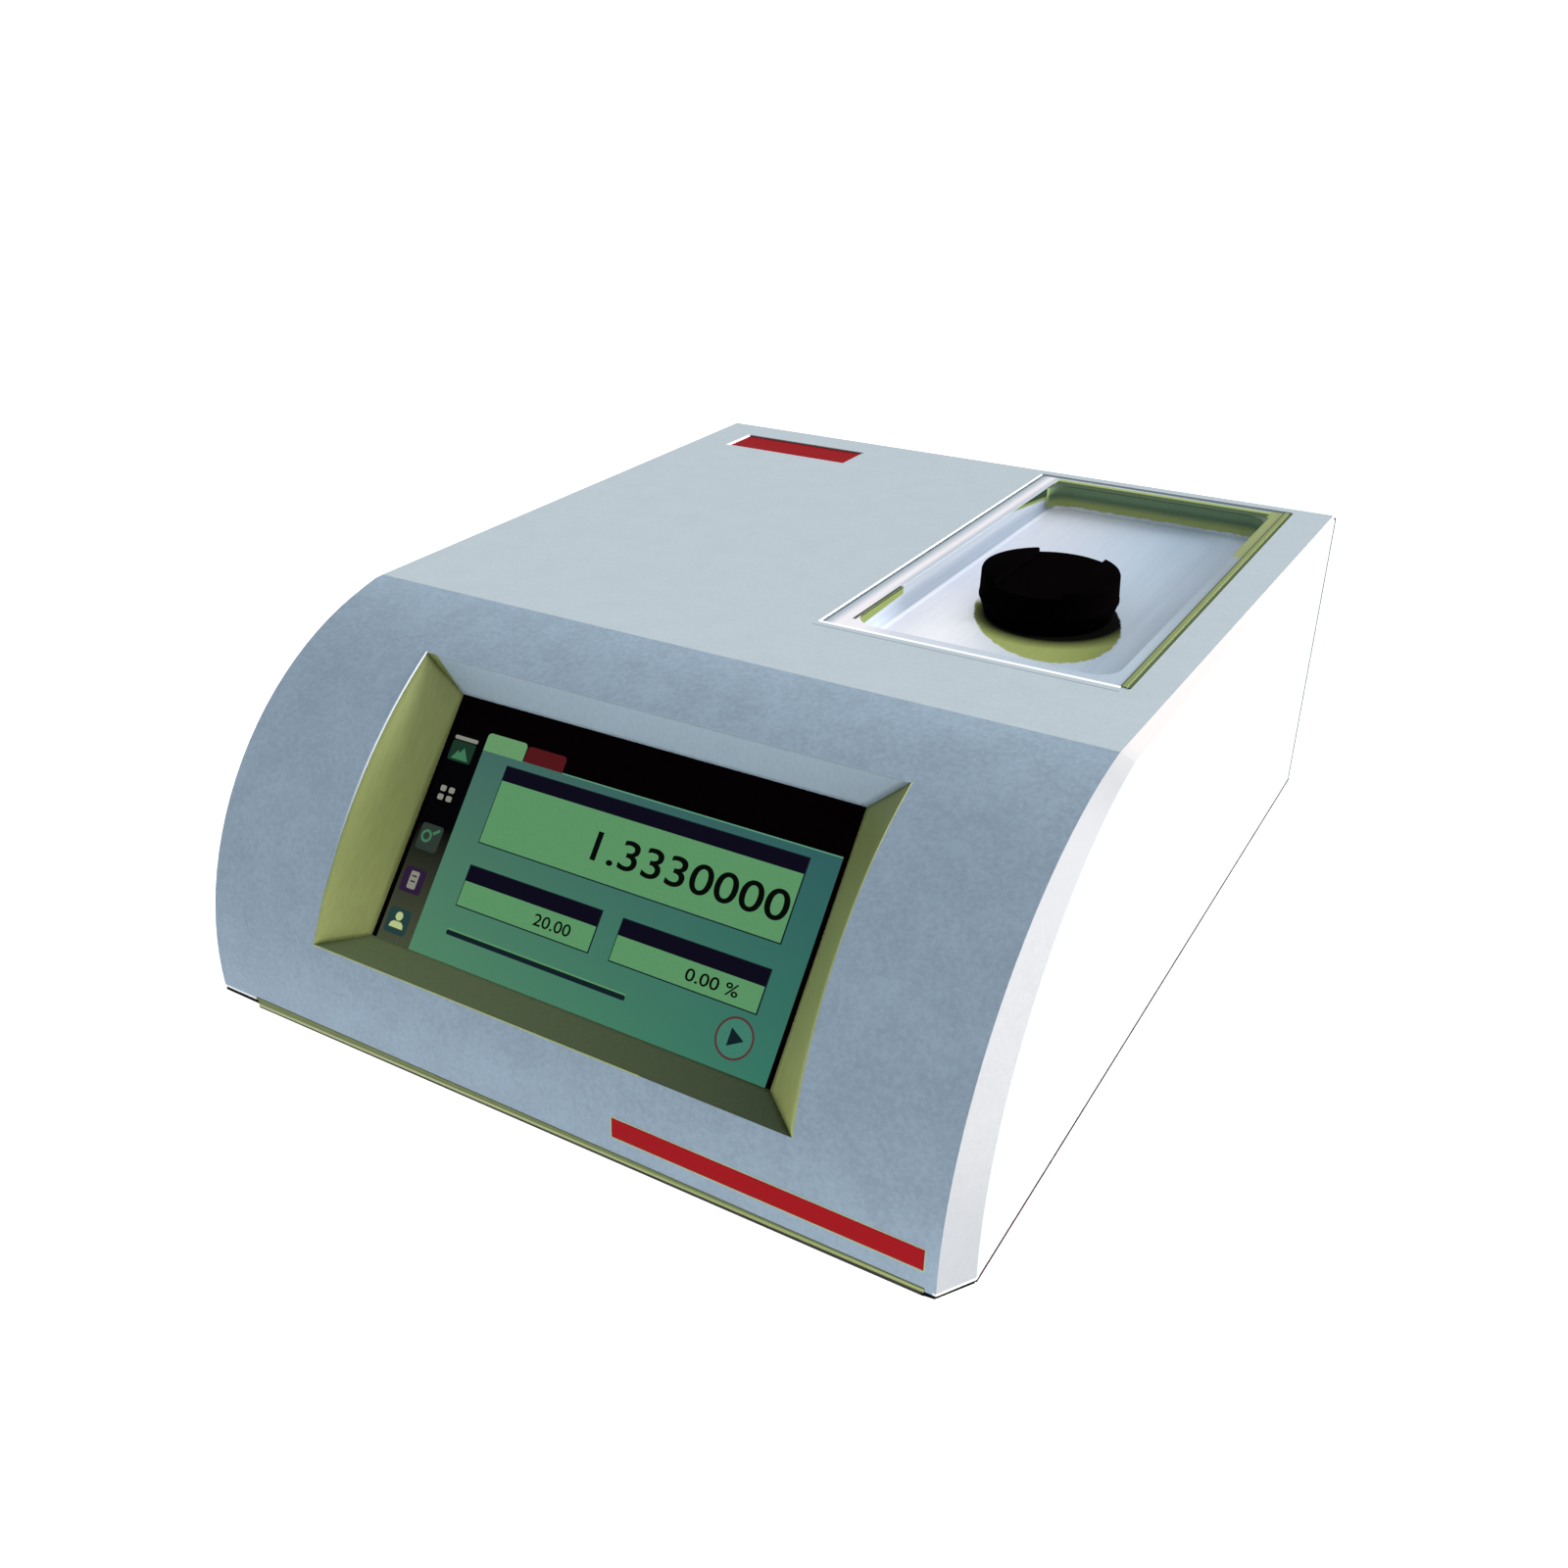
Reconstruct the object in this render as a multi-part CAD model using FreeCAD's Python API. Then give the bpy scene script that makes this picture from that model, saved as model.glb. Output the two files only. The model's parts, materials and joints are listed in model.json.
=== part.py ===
import FreeCAD, Part
import math
import os

from FreeCAD import Placement, Rotation, Vector

# Bench-top automatic Abbe refractometer. Millimetres, +Z up, the front looks along -Y,
# origin on the bench under the middle of the plan.

# Housing
housing_width = 290.0
housing_depth = 350.0
housing_height = 120.5
housing_wall = 3.0
front_radius = 116.0
front_centre_height = 5.4
corner_cut_bottom = 7.2
corner_cut_crease = 4.4
corner_cut_back = 1.2
corner_cut_setback = 11.0
corner_cut_top_setback = 1.2
corner_sections = 9
lip_notch_height = 1.4
lip_notch_left_inset = 22.5
lip_notch_right_inset = 10.3
general_clearance = 0.5
overrun = 6.0
edge_tolerance = 0.1

# Screen recess: its normal rises from level by the tilt
screen_tilt = 40.0
screen_depth = 20.8
window_width = 154.1
window_height = 85.9
mouth_height = 104.2
mouth_corner_width = 182.8
mouth_crown_left = 87.2
mouth_crown_right = 91.4
mouth_reach_share = 1.6

# Touch glass, display module, bracket and display board
glass_thickness = 1.8
glass_margin = 2.6
module_thickness = 6.0
module_margin_side = 5.4
module_margin_end = 7.0
module_lip = 0.6
bracket_thickness = 1.2
bracket_height = 92.0
bracket_window_margin = 16.0
bracket_ear_overlap = 6.0
screen_boss_diameter = 9.0
screen_boss_gap = 2.0
screen_boss_height_share = 0.72
board_thickness = 1.6
display_board_width = 120.0
display_board_height = 62.0
display_board_standoff = 6.0
display_board_inset = 5.0
display_chip_size = 16.0
display_chip_thickness = 1.4
display_connector_length = 40.0
display_connector_depth = 7.0
display_connector_height = 5.0

# Feet and base plate
foot_height = 8.0
foot_top_diameter = 22.0
foot_bottom_diameter = 18.0
foot_inset_side = 34.0
foot_inset_end = 34.0
foot_screw_recess_diameter = 10.0
foot_screw_recess_depth = 4.5
base_thickness = 1.6
base_flange_height = 14.0
base_lip_setback = 0.2
base_lip_drop = 1.9
base_lip_bar_height = 1.4
base_lip_groove_depth = 0.8
base_lip_overlap = 2.0
base_nut_diameter = 8.0
base_nut_height = 4.0
vent_slot_width = 4.0
vent_slot_pitch = 8.0
vent_slot_count = 7
vent_radius = 27.0

# Fasteners
screw_diameter = 4.0
screw_head_diameter = 7.6
screw_head_height = 2.6
screw_length = 10.0
small_screw_diameter = 3.0
small_screw_head_diameter = 5.6
small_screw_head_height = 2.0
small_screw_length = 7.0
screw_hole_clearance = 0.2
pilot_hole_clearance = 0.1
post_diameter = 9.0
post_wall_distance = 6.5
post_rib_thickness = 2.4
front_post_inset = 26.0
middle_post_share = 0.343
rear_post_inset = 32.0

# Rear panel
rear_inset = 8.0
rear_panel_thickness = 1.5
rear_boss_length = 12.0
rear_screw_top_drop = 16.0
rear_screw_bottom_rise = 9.0
louvre_width = 3.0
louvre_pitch = 7.0
louvre_height = 34.0
louvre_count = 11
louvre_side_inset = 67.0
louvre_centre_height = 66.0

# Sample tray
pocket_width = 110.0
pocket_length = 202.0
pocket_side_inset = 71.0
pocket_rear_margin = 5.0
pocket_corner_radius = 1.5
tray_sheet = 1.0
tray_sink = 0.5
tray_rim_gap = 1.1
tray_gasket_thickness = 0.4
tray_opening_width = 93.0
tray_opening_length = 185.0
tray_opening_shift_x = 1.0
tray_opening_shift_y = -2.0
tray_corner_radius = 9.0
tray_bottom_radius = 3.0
tray_depth = 10.0
tray_hole_diameter = 30.0

# Top plate and front strip
top_plate_width = 60.7
top_plate_depth = 18.4
top_plate_left_inset = 19.4
top_plate_rear_inset = 17.0
top_plate_thickness = 0.5
top_plate_sink = 0.4
strip_length = 103.0
strip_height = 7.0
strip_right_inset = 11.1
strip_rise = 7.6
strip_thickness = 0.6
plate_gap = 0.15

# Measuring well: distance of the prism behind the front of the tray opening
prism_setback = 63.5
well_diameter = 37.0
well_height = 1.8
well_mouth_diameter = 24.0
well_floor_diameter = 13.0
well_bore_length = 1.2
ring_screw_circle = 33.0
ring_screw_start_angle = 45.0
ring_screw_diameter = 2.5
ring_screw_head_diameter = 4.6
ring_screw_length = 9.0
ring_screw_count = 4
seal_diameter = 17.0
seal_thickness = 0.5
prism_width = 15.0
prism_length = 17.0
prism_base_length = 5.0
prism_height = 11.0
prism_pocket_clearance = 0.3

# Lid
lid_diameter = 48.4
lid_height = 16.3
lid_band_share = 0.5
lid_lower_step = 0.6
lid_toe_inset = 1.0
lid_toe_height = 3.2
lid_edge_round = 1.0
lid_cavity_diameter = 41.0
lid_cavity_height = 11.0
lid_seal_width = 1.6
lid_seal_height = 1.6
lid_seal_proud = 0.2
lid_channel_width = 20.0
lid_channel_depth = 2.2
lid_channel_turn = -15.0
lid_rest_gap = 0.3

# Thermostat stack under the well
block_width = 46.0
block_length = 44.0
block_height = 45.0
cooler_size = 40.0
cooler_thickness = 4.0
cooler_plate_thickness = 1.0
cooler_pellet_inset = 1.2
sink_length = 60.0
sink_base_thickness = 5.0
sink_fin_span = 60.0
sink_fin_height = 30.0
sink_fin_thickness = 1.6
sink_fin_count = 11
sink_post_diameter = 8.0
sink_post_fin_gap = 3.0
sink_post_edge_margin = 1.0
sink_post_inset_y = 8.0
sensor_probe_diameter = 4.0
sensor_probe_length = 26.0
sensor_probe_rise = 12.0
sensor_collar_wall = 1.2
sensor_probe_bore_depth = 15.0

# Fan
fan_size = 60.0
fan_thickness = 15.0
fan_duct_diameter = 57.0
fan_corner_radius = 4.0
fan_screw_pitch = 50.0
fan_hub_diameter = 27.0
fan_hub_clearance = 0.8
fan_blade_count = 7
fan_blade_thickness = 1.4
fan_blade_lean = 32.0
fan_tip_clearance = 1.0
fan_plate_thickness = 2.0
fan_strut_width = 3.0
fan_strut_count = 4
fan_axle_diameter = 3.0
fan_axle_length = 8.0
fan_axle_clearance = 0.05
fan_cup_wall = 1.5
fan_blade_inset = 1.2

# Optics: both barrels lie at this angle below level, fore and aft of the prism
barrel_angle = 40.0
barrel_diameter = 20.0
barrel_wall = 2.0
barrel_start = 19.0
light_barrel_end = 58.0
camera_barrel_end = 74.0
barrel_bore_clearance = 0.1
barrel_collar_diameter = 26.0
barrel_collar_length = 4.0
lens_diameter = 15.8
lens_edge = 2.0
lens_bulge = 2.2
condenser_place = 30.0
imaging_place = 36.0
filter_place = 46.0
filter_thickness = 2.0
lamp_board_diameter = 24.0
lamp_diameter = 5.0
lamp_length = 7.0
lamp_sink_diameter = 24.0
lamp_sink_fins = 5
lamp_sink_fin_thickness = 1.2
lamp_sink_fin_height = 6.0
lamp_sink_base = 2.0
sensor_board_size = 36.0
line_sensor_length = 14.0
line_sensor_width = 8.0
line_sensor_thickness = 2.6

# Main board
main_board_width = 74.0
main_board_length = 96.0
main_board_shift_share = 0.038
main_board_rear_gap = 0.5
standoff_height = 8.0
standoff_diameter = 6.0
standoff_inset = 5.0
standoff_rear_setback = 28.0
component_height = 9.0
capacitor_diameter = 8.0
capacitor_height = 12.0

# Each chip as shares: its middle across and along the board, its width and length on the board,
# and its height as a share of the component height
chip_shares = [
    (0.50, 0.38, 0.36, 0.28, 0.27),
    (0.21, 0.36, 0.16, 0.19, 0.13),
    (0.81, 0.40, 0.16, 0.19, 0.13),
    (0.26, 0.62, 0.19, 0.15, 0.18),
    (0.72, 0.66, 0.22, 0.12, 0.67),
    (0.30, 0.10, 0.30, 0.08, 1.00),
    (0.68, 0.10, 0.22, 0.08, 1.00),
]
# Each capacitor's middle, across and along the board
capacitor_shares = [(0.44, 0.62), (0.56, 0.62), (0.46, 0.76)]

# Power supply
supply_width = 82.0
supply_length = 99.0
supply_height = 36.0
supply_side_inset = 49.0
supply_front_setback = 140.0
supply_terminal_depth = 14.0
supply_screw_inset_side = 14.0
supply_screw_inset_front = 28.0
supply_screw_inset_back = 14.0
supply_terminal_height = 16.0
supply_vent_margin = 7.0
supply_vent_columns = 6
supply_vent_rows = 7
supply_vent_length = 8.0
supply_vent_width = 3.0
supply_vent_depth = 1.2
terminal_count = 5
terminal_pitch = 9.5
terminal_margin = 3.0
terminal_wall = 1.2
terminal_head_diameter = 6.0
terminal_head_height = 1.2

# Power inlet with its switch and fuse drawer, seen on the rear panel
inlet_side_inset = 41.0
inlet_centre_height = 62.0
inlet_face_width = 31.5
inlet_face_height = 60.0
inlet_ear_span = 50.0
inlet_ear_height = 14.0
inlet_face_thickness = 2.5
inlet_body_width = 27.0
inlet_body_height = 50.0
inlet_body_depth = 30.0
inlet_screw_pitch = 40.0
inlet_cavity_width = 24.0
inlet_cavity_height = 16.4
inlet_cavity_depth = 17.0
inlet_cavity_cut = 5.0
inlet_cavity_drop = 17.0
inlet_core_width = 19.0
inlet_core_height = 9.6
inlet_core_length = 15.0
pin_width = 2.0
pin_height = 4.0
pin_root_depth = 4.0
pin_tip_depth = 3.5
pin_pitch = 7.0
pin_rise = 1.4
pin_earth_drop = 2.0
drawer_width = 21.0
drawer_height = 8.0
drawer_depth = 24.0
drawer_rise = 0.5
drawer_clearance = 0.15
drawer_face_proud = 1.2
drawer_lip_width = 8.0
drawer_lip_proud = 0.9
drawer_wall = 1.2
fuse_diameter = 5.0
fuse_length = 20.0
fuse_cap_length = 4.5
rocker_width = 20.0
rocker_height = 10.0
rocker_rise = 16.2
rocker_travel = 22.0
rocker_proud = 0.4
rocker_pivot_depth = 4.0
rocker_heel_radius = 7.0
rocker_swing_margin = 0.8
rocker_clearance = 0.5
rocker_pin_diameter = 2.4
rocker_pin_length = 1.5
rocker_pin_clearance = 0.08
rocker_well_depth = 13.0

# Sockets at the rear edge of the main board
serial_shift = -21.0
serial_face_width = 30.8
serial_face_height = 12.5
serial_face_thickness = 1.0
serial_shell_width = 16.9
serial_shell_height = 8.4
serial_shell_length = 5.0
serial_shell_slope = 1.4
serial_shell_wall = 0.6
serial_body_depth = 10.0
serial_lock_pitch = 24.99
serial_lock_hex = 5.5
serial_lock_length = 5.0
serial_lock_bore = 2.6
serial_pin_diameter = 1.0
serial_pin_rows = 2
serial_long_row_pins = 5
serial_pin_setback = 1.0
serial_row_pitch = 2.84
serial_pin_pitch = 2.77
usb_shift = 7.0
usb_stack_pitch = 8.1
usb_width = 13.1
usb_height = 5.7
usb_depth = 14.0
usb_wall = 0.4
usb_flange = 1.2
usb_tongue_width = 8.3
usb_tongue_thickness = 1.6
usb_tongue_drop = 1.0
usb_count = 2
network_shift = 26.5
network_width = 16.0
network_height = 13.4
network_depth = 21.0
network_port_width = 11.8
network_port_height = 8.0
network_port_depth = 12.0
network_latch_width = 6.2
network_latch_height = 2.6
network_port_drop = 1.2
socket_gap = 0.25

# Places that follow from the sizes
base_bottom = foot_height
base_top = base_bottom + base_thickness
top = base_bottom + housing_height
front = -housing_depth / 2
back = housing_depth / 2
side = housing_width / 2
arc_y = front + front_radius
arc_z = base_bottom + front_centre_height
ceiling = top - housing_wall
inner_side = side - housing_wall
inner_radius = front_radius - housing_wall
panel_back = back - rear_inset
panel_front = panel_back - rear_panel_thickness
post_x = inner_side - post_wall_distance

pocket_back = back - pocket_rear_margin
pocket_centre_x = side - pocket_side_inset
pocket_centre_y = pocket_back - pocket_length / 2
tray_flange_top = top - tray_sink
tray_flange_bottom = tray_flange_top - tray_sheet
pocket_floor = tray_flange_bottom - tray_gasket_thickness
tray_x = pocket_centre_x + tray_opening_shift_x
tray_y = pocket_centre_y + tray_opening_shift_y
tray_floor = top - tray_depth
tray_under = tray_floor - tray_sheet
prism_x = tray_x
prism_y = tray_y - tray_opening_length / 2 + prism_setback

block_top = tray_under
block_bottom = block_top - block_height
cooler_bottom = block_bottom - cooler_thickness
sink_base_bottom = cooler_bottom - sink_base_thickness
sink_width = sink_fin_span + 2 * (sink_post_fin_gap + sink_post_diameter + sink_post_edge_margin)
fan_top = base_top + fan_thickness

board_bottom = base_top + standoff_height
board_top = board_bottom + board_thickness
main_board_back = panel_front - main_board_rear_gap
main_board_front = main_board_back - main_board_length
main_board_x = -main_board_shift_share * housing_width
serial_x = main_board_x + serial_shift
usb_x = main_board_x + usb_shift
network_x = main_board_x + network_shift

pilot_bore = screw_diameter + 2 * pilot_hole_clearance
clear_bore = screw_diameter + 2 * screw_hole_clearance
small_pilot_bore = small_screw_diameter + 2 * pilot_hole_clearance
small_clear_bore = small_screw_diameter + 2 * screw_hole_clearance
long_reach = housing_depth

# The middle of anything, as a share of it
half_share = 0.5


# Small tools

def box(x0, x1, y0, y1, z0, z1):
    return Part.makeBox(x1 - x0, y1 - y0, z1 - z0, Vector(x0, y0, z0))


def well_centre(z):
    """A point on the upright axis that the well, its lid and the parts below share."""
    return Vector(prism_x, prism_y, z)


def block_at(centre, width, length, height):
    """A box centred on the point in plan and standing on it."""
    corner = Vector(centre.x - width / 2, centre.y - length / 2, centre.z)
    return Part.makeBox(width, length, height, corner)


def cylinder(diameter, start, way, length):
    return Part.makeCylinder(diameter / 2, length, start, way)


def cone(start_diameter, end_diameter, start, way, length):
    return Part.makeCone(start_diameter / 2, end_diameter / 2, length, start, way)


def fused(shapes):
    whole = shapes[0]
    if len(shapes) > 1:
        whole = whole.fuse(shapes[1:])
    return whole.removeSplitter()


def group(shapes):
    return Part.makeCompound(shapes)


def prism(points, way):
    return Part.Face(Part.makePolygon(points + [points[0]])).extrude(way)


def upright_edges(shape):
    edges = []
    for edge in shape.Edges:
        first = edge.Vertexes[0].Point
        last = edge.Vertexes[-1].Point
        if abs(first.x - last.x) + abs(first.y - last.y) < edge_tolerance < abs(first.z - last.z):
            edges.append(edge)
    return edges


def level_edges(shape, height):
    edges = []
    for edge in shape.Edges:
        bounds = edge.BoundBox
        if abs(bounds.ZMin - height) < edge_tolerance and abs(bounds.ZMax - height) < edge_tolerance:
            edges.append(edge)
    return edges


def rounded_box(x0, x1, y0, y1, z0, z1, radius):
    plain = box(x0, x1, y0, y1, z0, z1)
    return plain.makeFillet(radius, upright_edges(plain))


def ring_of(profile, centre):
    """Turn a profile, given as (radius, height) points, about the vertical through the centre."""
    points = [Vector(centre.x + radius, centre.y, centre.z + height) for radius, height in profile]
    face = Part.Face(Part.makePolygon(points + [points[0]]))
    return face.revolve(centre, Vector(0, 0, 1), 360)


def around(shape, centre, count):
    turn = 360.0 / count
    copies = []
    for index in range(count):
        copy = shape.copy()
        copy.rotate(centre, Vector(0, 0, 1), turn * index)
        copies.append(copy)
    return copies


def mirrored_x(shape):
    return shape.mirror(Vector(0, 0, 0), Vector(1, 0, 0))


def placed(shape, placement):
    moved = shape.copy()
    moved.Placement = placement.multiply(moved.Placement)
    return moved


def pan_screw(diameter, head_diameter, head_height, length, seat, way):
    """A screw whose head stands on the seat and whose shank goes the given way."""
    shank = cylinder(diameter, seat, way, length)
    head_start = seat - way * head_height
    head = cylinder(head_diameter, head_start, way, head_height)
    head = head.makeFillet(head_height / 3, head_end_edges(head, head_start))
    return fused([head, shank])


def head_end_edges(head, centre):
    edges = []
    for edge in head.Edges:
        if len(edge.Vertexes) == 1 and edge.CenterOfMass.distanceToPoint(centre) < edge_tolerance:
            edges.append(edge)
    return edges


def large_screw(seat, way):
    return pan_screw(screw_diameter, screw_head_diameter, screw_head_height, screw_length, seat, way)


def small_screw(seat, way):
    return pan_screw(small_screw_diameter, small_screw_head_diameter, small_screw_head_height,
                     small_screw_length, seat, way)


UP = Vector(0, 0, 1)
DOWN = Vector(0, 0, -1)
FORWARD = Vector(0, -1, 0)
BACKWARD = Vector(0, 1, 0)
RIGHT = Vector(1, 0, 0)

# Frames that lean: the screen, and the light and camera barrels

def screen_frame():
    """Local X runs across the screen, Y up along it and Z out of it. Zero is its glass, at the middle."""
    reach = front_radius - screen_depth
    lean = math.radians(screen_tilt)
    origin = Vector(0, arc_y - reach * math.cos(lean), arc_z + reach * math.sin(lean))
    return Placement(origin, Rotation(RIGHT, 90 - screen_tilt))


def barrel_frame(sign):
    """Local Z runs from the measuring face down along a barrel, fore (-1) or aft (+1)."""
    lean = math.radians(barrel_angle)
    way = Vector(0, sign * math.cos(lean), -math.sin(lean))
    return Placement(Vector(prism_x, prism_y, tray_floor), Rotation(UP, way))


SCREEN = screen_frame()
LIGHT = barrel_frame(-1)
CAMERA = barrel_frame(1)


# Housing

def side_profile(radius, roof, floor, rear):
    """The housing's section: quarter-round front up to the crease, then a level top."""
    angle = math.asin((roof - arc_z) / radius)
    low_angle = math.asin((floor - arc_z) / radius)
    middle_angle = (angle + low_angle) / 2
    low = Vector(0, arc_y - radius * math.cos(low_angle), floor)
    middle = Vector(0, arc_y - radius * math.cos(middle_angle), arc_z + radius * math.sin(middle_angle))
    crease = Vector(0, arc_y - radius * math.cos(angle), roof)
    roof_back = Vector(0, rear, roof)
    floor_back = Vector(0, rear, floor)
    edges = [
        Part.Arc(low, middle, crease).toShape(),
        Part.LineSegment(crease, roof_back).toShape(),
        Part.LineSegment(roof_back, floor_back).toShape(),
        Part.LineSegment(floor_back, low).toShape(),
    ]
    return Part.Face(Part.Wire(edges))


def wide_body(radius, roof, floor, rear, half_width):
    face = side_profile(radius, roof, floor, rear)
    face.translate(Vector(-half_width, 0, 0))
    return face.extrude(Vector(2 * half_width, 0, 0))


def corner_triangle(angle, face_inset, side_inset):
    """Section of the material cut off the corner, in the radial plane at the angle above level."""
    out = Vector(0, -math.cos(angle), math.sin(angle))
    centre = Vector(0, arc_y, arc_z)
    spread = Vector(side_inset, 0, 0) + out * face_inset
    on_face = centre + out * front_radius + Vector(side - face_inset, 0, 0)
    on_side = centre + out * (front_radius - side_inset) + Vector(side, 0, 0)
    slope = on_face - on_side
    beyond_face = on_face + slope
    beyond_side = on_side - slope
    outside = Vector(beyond_side.x, 0, 0) + Vector(0, beyond_face.y, beyond_face.z)
    outside = outside + spread
    return Part.makePolygon([beyond_face, beyond_side, outside, beyond_face])


def top_triangle(y, face_inset, side_inset):
    on_face = Vector(side - face_inset, y, top)
    on_side = Vector(side, y, top - side_inset)
    slope = on_face - on_side
    beyond_face = on_face + slope
    beyond_side = on_side - slope
    outside = Vector(beyond_side.x + side_inset, y, beyond_face.z + face_inset)
    return Part.makePolygon([beyond_face, beyond_side, outside, beyond_face])


def corner_cuts():
    """The chamfer that runs up the corner of the front and narrows towards the back of the top."""
    crease_angle = math.asin((top - arc_z) / front_radius)
    start_angle = -math.asin(front_centre_height / front_radius) - crease_angle / corner_sections
    sections = []
    for index in range(corner_sections):
        share = index / (corner_sections - 1)
        angle = start_angle + share * (crease_angle - start_angle)
        face_inset = corner_cut_bottom + share * (corner_cut_crease - corner_cut_bottom)
        side_inset = corner_cut_top_setback + (corner_cut_setback - corner_cut_top_setback) * math.cos(angle)
        sections.append(corner_triangle(angle, face_inset, side_inset))
    curved = Part.makeLoft(sections, True, False)
    last_setback = corner_cut_top_setback
    last_setback += (corner_cut_setback - corner_cut_top_setback) * math.cos(crease_angle)
    straight = Part.makeLoft([
        corner_triangle(crease_angle, corner_cut_crease, last_setback),
        top_triangle(back + overrun, corner_cut_back, corner_cut_top_setback),
    ], True, True)
    return [curved, straight, mirrored_x(curved), mirrored_x(straight)]


def outer_body():
    return wide_body(front_radius, top, base_bottom, back, side).cut(corner_cuts())


def recess_tool(margin):
    """The flared space in front of the glass: straight rims at the glass, arcs at the housing's face."""
    reach = front_radius - screen_depth
    mouth_half = mouth_height / 2 + margin
    corner_rise = math.sqrt(front_radius ** 2 - mouth_half ** 2) - reach
    crown_rise = front_radius - reach
    half_w = window_width / 2 + margin
    half_h = window_height / 2 + margin

    def beyond(inner, outer):
        return inner + (outer - inner) * mouth_reach_share

    corner = Vector(mouth_corner_width / 2 + margin, mouth_half, corner_rise)
    far = beyond(Vector(half_w, half_h, 0), corner)
    right_crown = beyond(Vector(half_w, 0, 0), Vector(mouth_crown_right + margin, 0, crown_rise))
    left_crown = beyond(Vector(-half_w, 0, 0), Vector(-mouth_crown_left - margin, 0, crown_rise))
    near_points = [Vector(half_w, half_h, 0), Vector(-half_w, half_h, 0),
                   Vector(-half_w, -half_h, 0), Vector(half_w, -half_h, 0)]
    far_points = [far, Vector(-far.x, far.y, far.z),
                  Vector(-far.x, -far.y, far.z), Vector(far.x, -far.y, far.z)]
    near_edges = []
    for index in range(4):
        near_edges.append(Part.LineSegment(near_points[index], near_points[(index + 1) % 4]).toShape())
    far_top = Part.LineSegment(far_points[0], far_points[1]).toShape()
    far_left = Part.Arc(far_points[1], left_crown, far_points[2]).toShape()
    far_bottom = Part.LineSegment(far_points[2], far_points[3]).toShape()
    far_right = Part.Arc(far_points[3], right_crown, far_points[0]).toShape()
    faces = [Part.Face(Part.Wire(near_edges))]
    for near_edge, far_edge in zip(near_edges, [far_top, far_left, far_bottom, far_right]):
        faces.append(Part.makeRuledSurface(near_edge, far_edge))
    right_upward = Part.Arc(far_points[3], right_crown, far_points[0]).toShape()
    left_upward = Part.Arc(far_points[2], left_crown, far_points[1]).toShape()
    faces.append(Part.makeRuledSurface(left_upward, right_upward))
    shell = Part.makeShell(faces)
    shell.sewShape()
    solid = Part.makeSolid(shell)
    if solid.Volume < 0:
        solid.reverse()
    return placed(solid, SCREEN)


def screen_boss_x():
    return mouth_corner_width / 2 + housing_wall + screen_boss_gap + screen_boss_diameter / 2


def screen_boss_places():
    half_w = screen_boss_x()
    half_h = window_height / 2 * screen_boss_height_share
    return [(x, y) for x in (-half_w, half_w) for y in (-half_h, half_h)]


def screen_stack_depth():
    return glass_thickness + module_thickness


def screen_bosses():
    """Posts on the inside of the curved front that the display bracket is screwed to."""
    bosses = []
    reach = front_radius - screen_depth
    for x, y in screen_boss_places():
        rise = math.sqrt(front_radius ** 2 - y ** 2) - reach
        low = -screen_stack_depth()
        bosses.append(placed(cylinder(screen_boss_diameter, Vector(x, y, low), UP, rise - low), SCREEN))
    return bosses


def post_places():
    places = []
    middle = front + middle_post_share * housing_depth
    for y in (front + front_post_inset, middle, back - rear_post_inset):
        for x in (-post_x, post_x):
            places.append(Vector(x, y, base_top))
    return places


def post_with_rib(place):
    """An upright post for a housing screw, tied to the side wall by a rib."""
    post = cylinder(post_diameter, place, UP, long_reach)
    wall_x = math.copysign(side - housing_wall / 2, place.x)
    rib = box(min(place.x, wall_x), max(place.x, wall_x), place.y - post_rib_thickness / 2,
              place.y + post_rib_thickness / 2, place.z, place.z + long_reach)
    return fused([post, rib])


def rear_screw_places():
    places = []
    for z in (base_top + rear_screw_bottom_rise, top - rear_screw_top_drop):
        for x in (-post_x, post_x):
            places.append(Vector(x, panel_front, z))
    return places


def rear_boss(place):
    boss = cylinder(post_diameter, place, FORWARD, rear_boss_length)
    wall_x = math.copysign(side - housing_wall / 2, place.x)
    rib = box(min(place.x, wall_x), max(place.x, wall_x), place.y - rear_boss_length, place.y,
              place.z - post_rib_thickness / 2, place.z + post_rib_thickness / 2)
    return fused([boss, rib])


def pocket_box(z0, z1, shrink):
    half_w = pocket_width / 2 - shrink
    half_l = pocket_length / 2 - shrink
    return rounded_box(pocket_centre_x - half_w, pocket_centre_x + half_w, pocket_centre_y - half_l,
                       pocket_centre_y + half_l, z0, z1, pocket_corner_radius)


def pan_box(z0, z1, grow):
    half_w = tray_opening_width / 2 + grow
    half_l = tray_opening_length / 2 + grow
    return rounded_box(tray_x - half_w, tray_x + half_w, tray_y - half_l, tray_y + half_l, z0, z1,
                       tray_corner_radius + grow)


def top_plate_box(z0, z1, grow):
    x0 = -side + top_plate_left_inset
    y1 = back - top_plate_rear_inset
    return box(x0 - grow, x0 + top_plate_width + grow, y1 - top_plate_depth - grow, y1 + grow, z0, z1)


def strip_sector(face_radius, back_radius, grow):
    """A piece of the curved front between two radii, under the long front strip."""
    x1 = side - strip_right_inset + grow
    x0 = x1 - strip_length - 2 * grow
    z0 = base_bottom + strip_rise - grow
    z1 = z0 + strip_height + 2 * grow
    outer = cylinder(2 * face_radius, Vector(x0, arc_y, arc_z), RIGHT, x1 - x0)
    inner_start = Vector(x0 - overrun, arc_y, arc_z)
    inner = cylinder(2 * back_radius, inner_start, RIGHT, x1 - x0 + 2 * overrun)
    slab = box(x0, x1, front - overrun, arc_y - front_radius / 2, z0, z1)
    return outer.cut(inner).common(slab)


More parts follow.
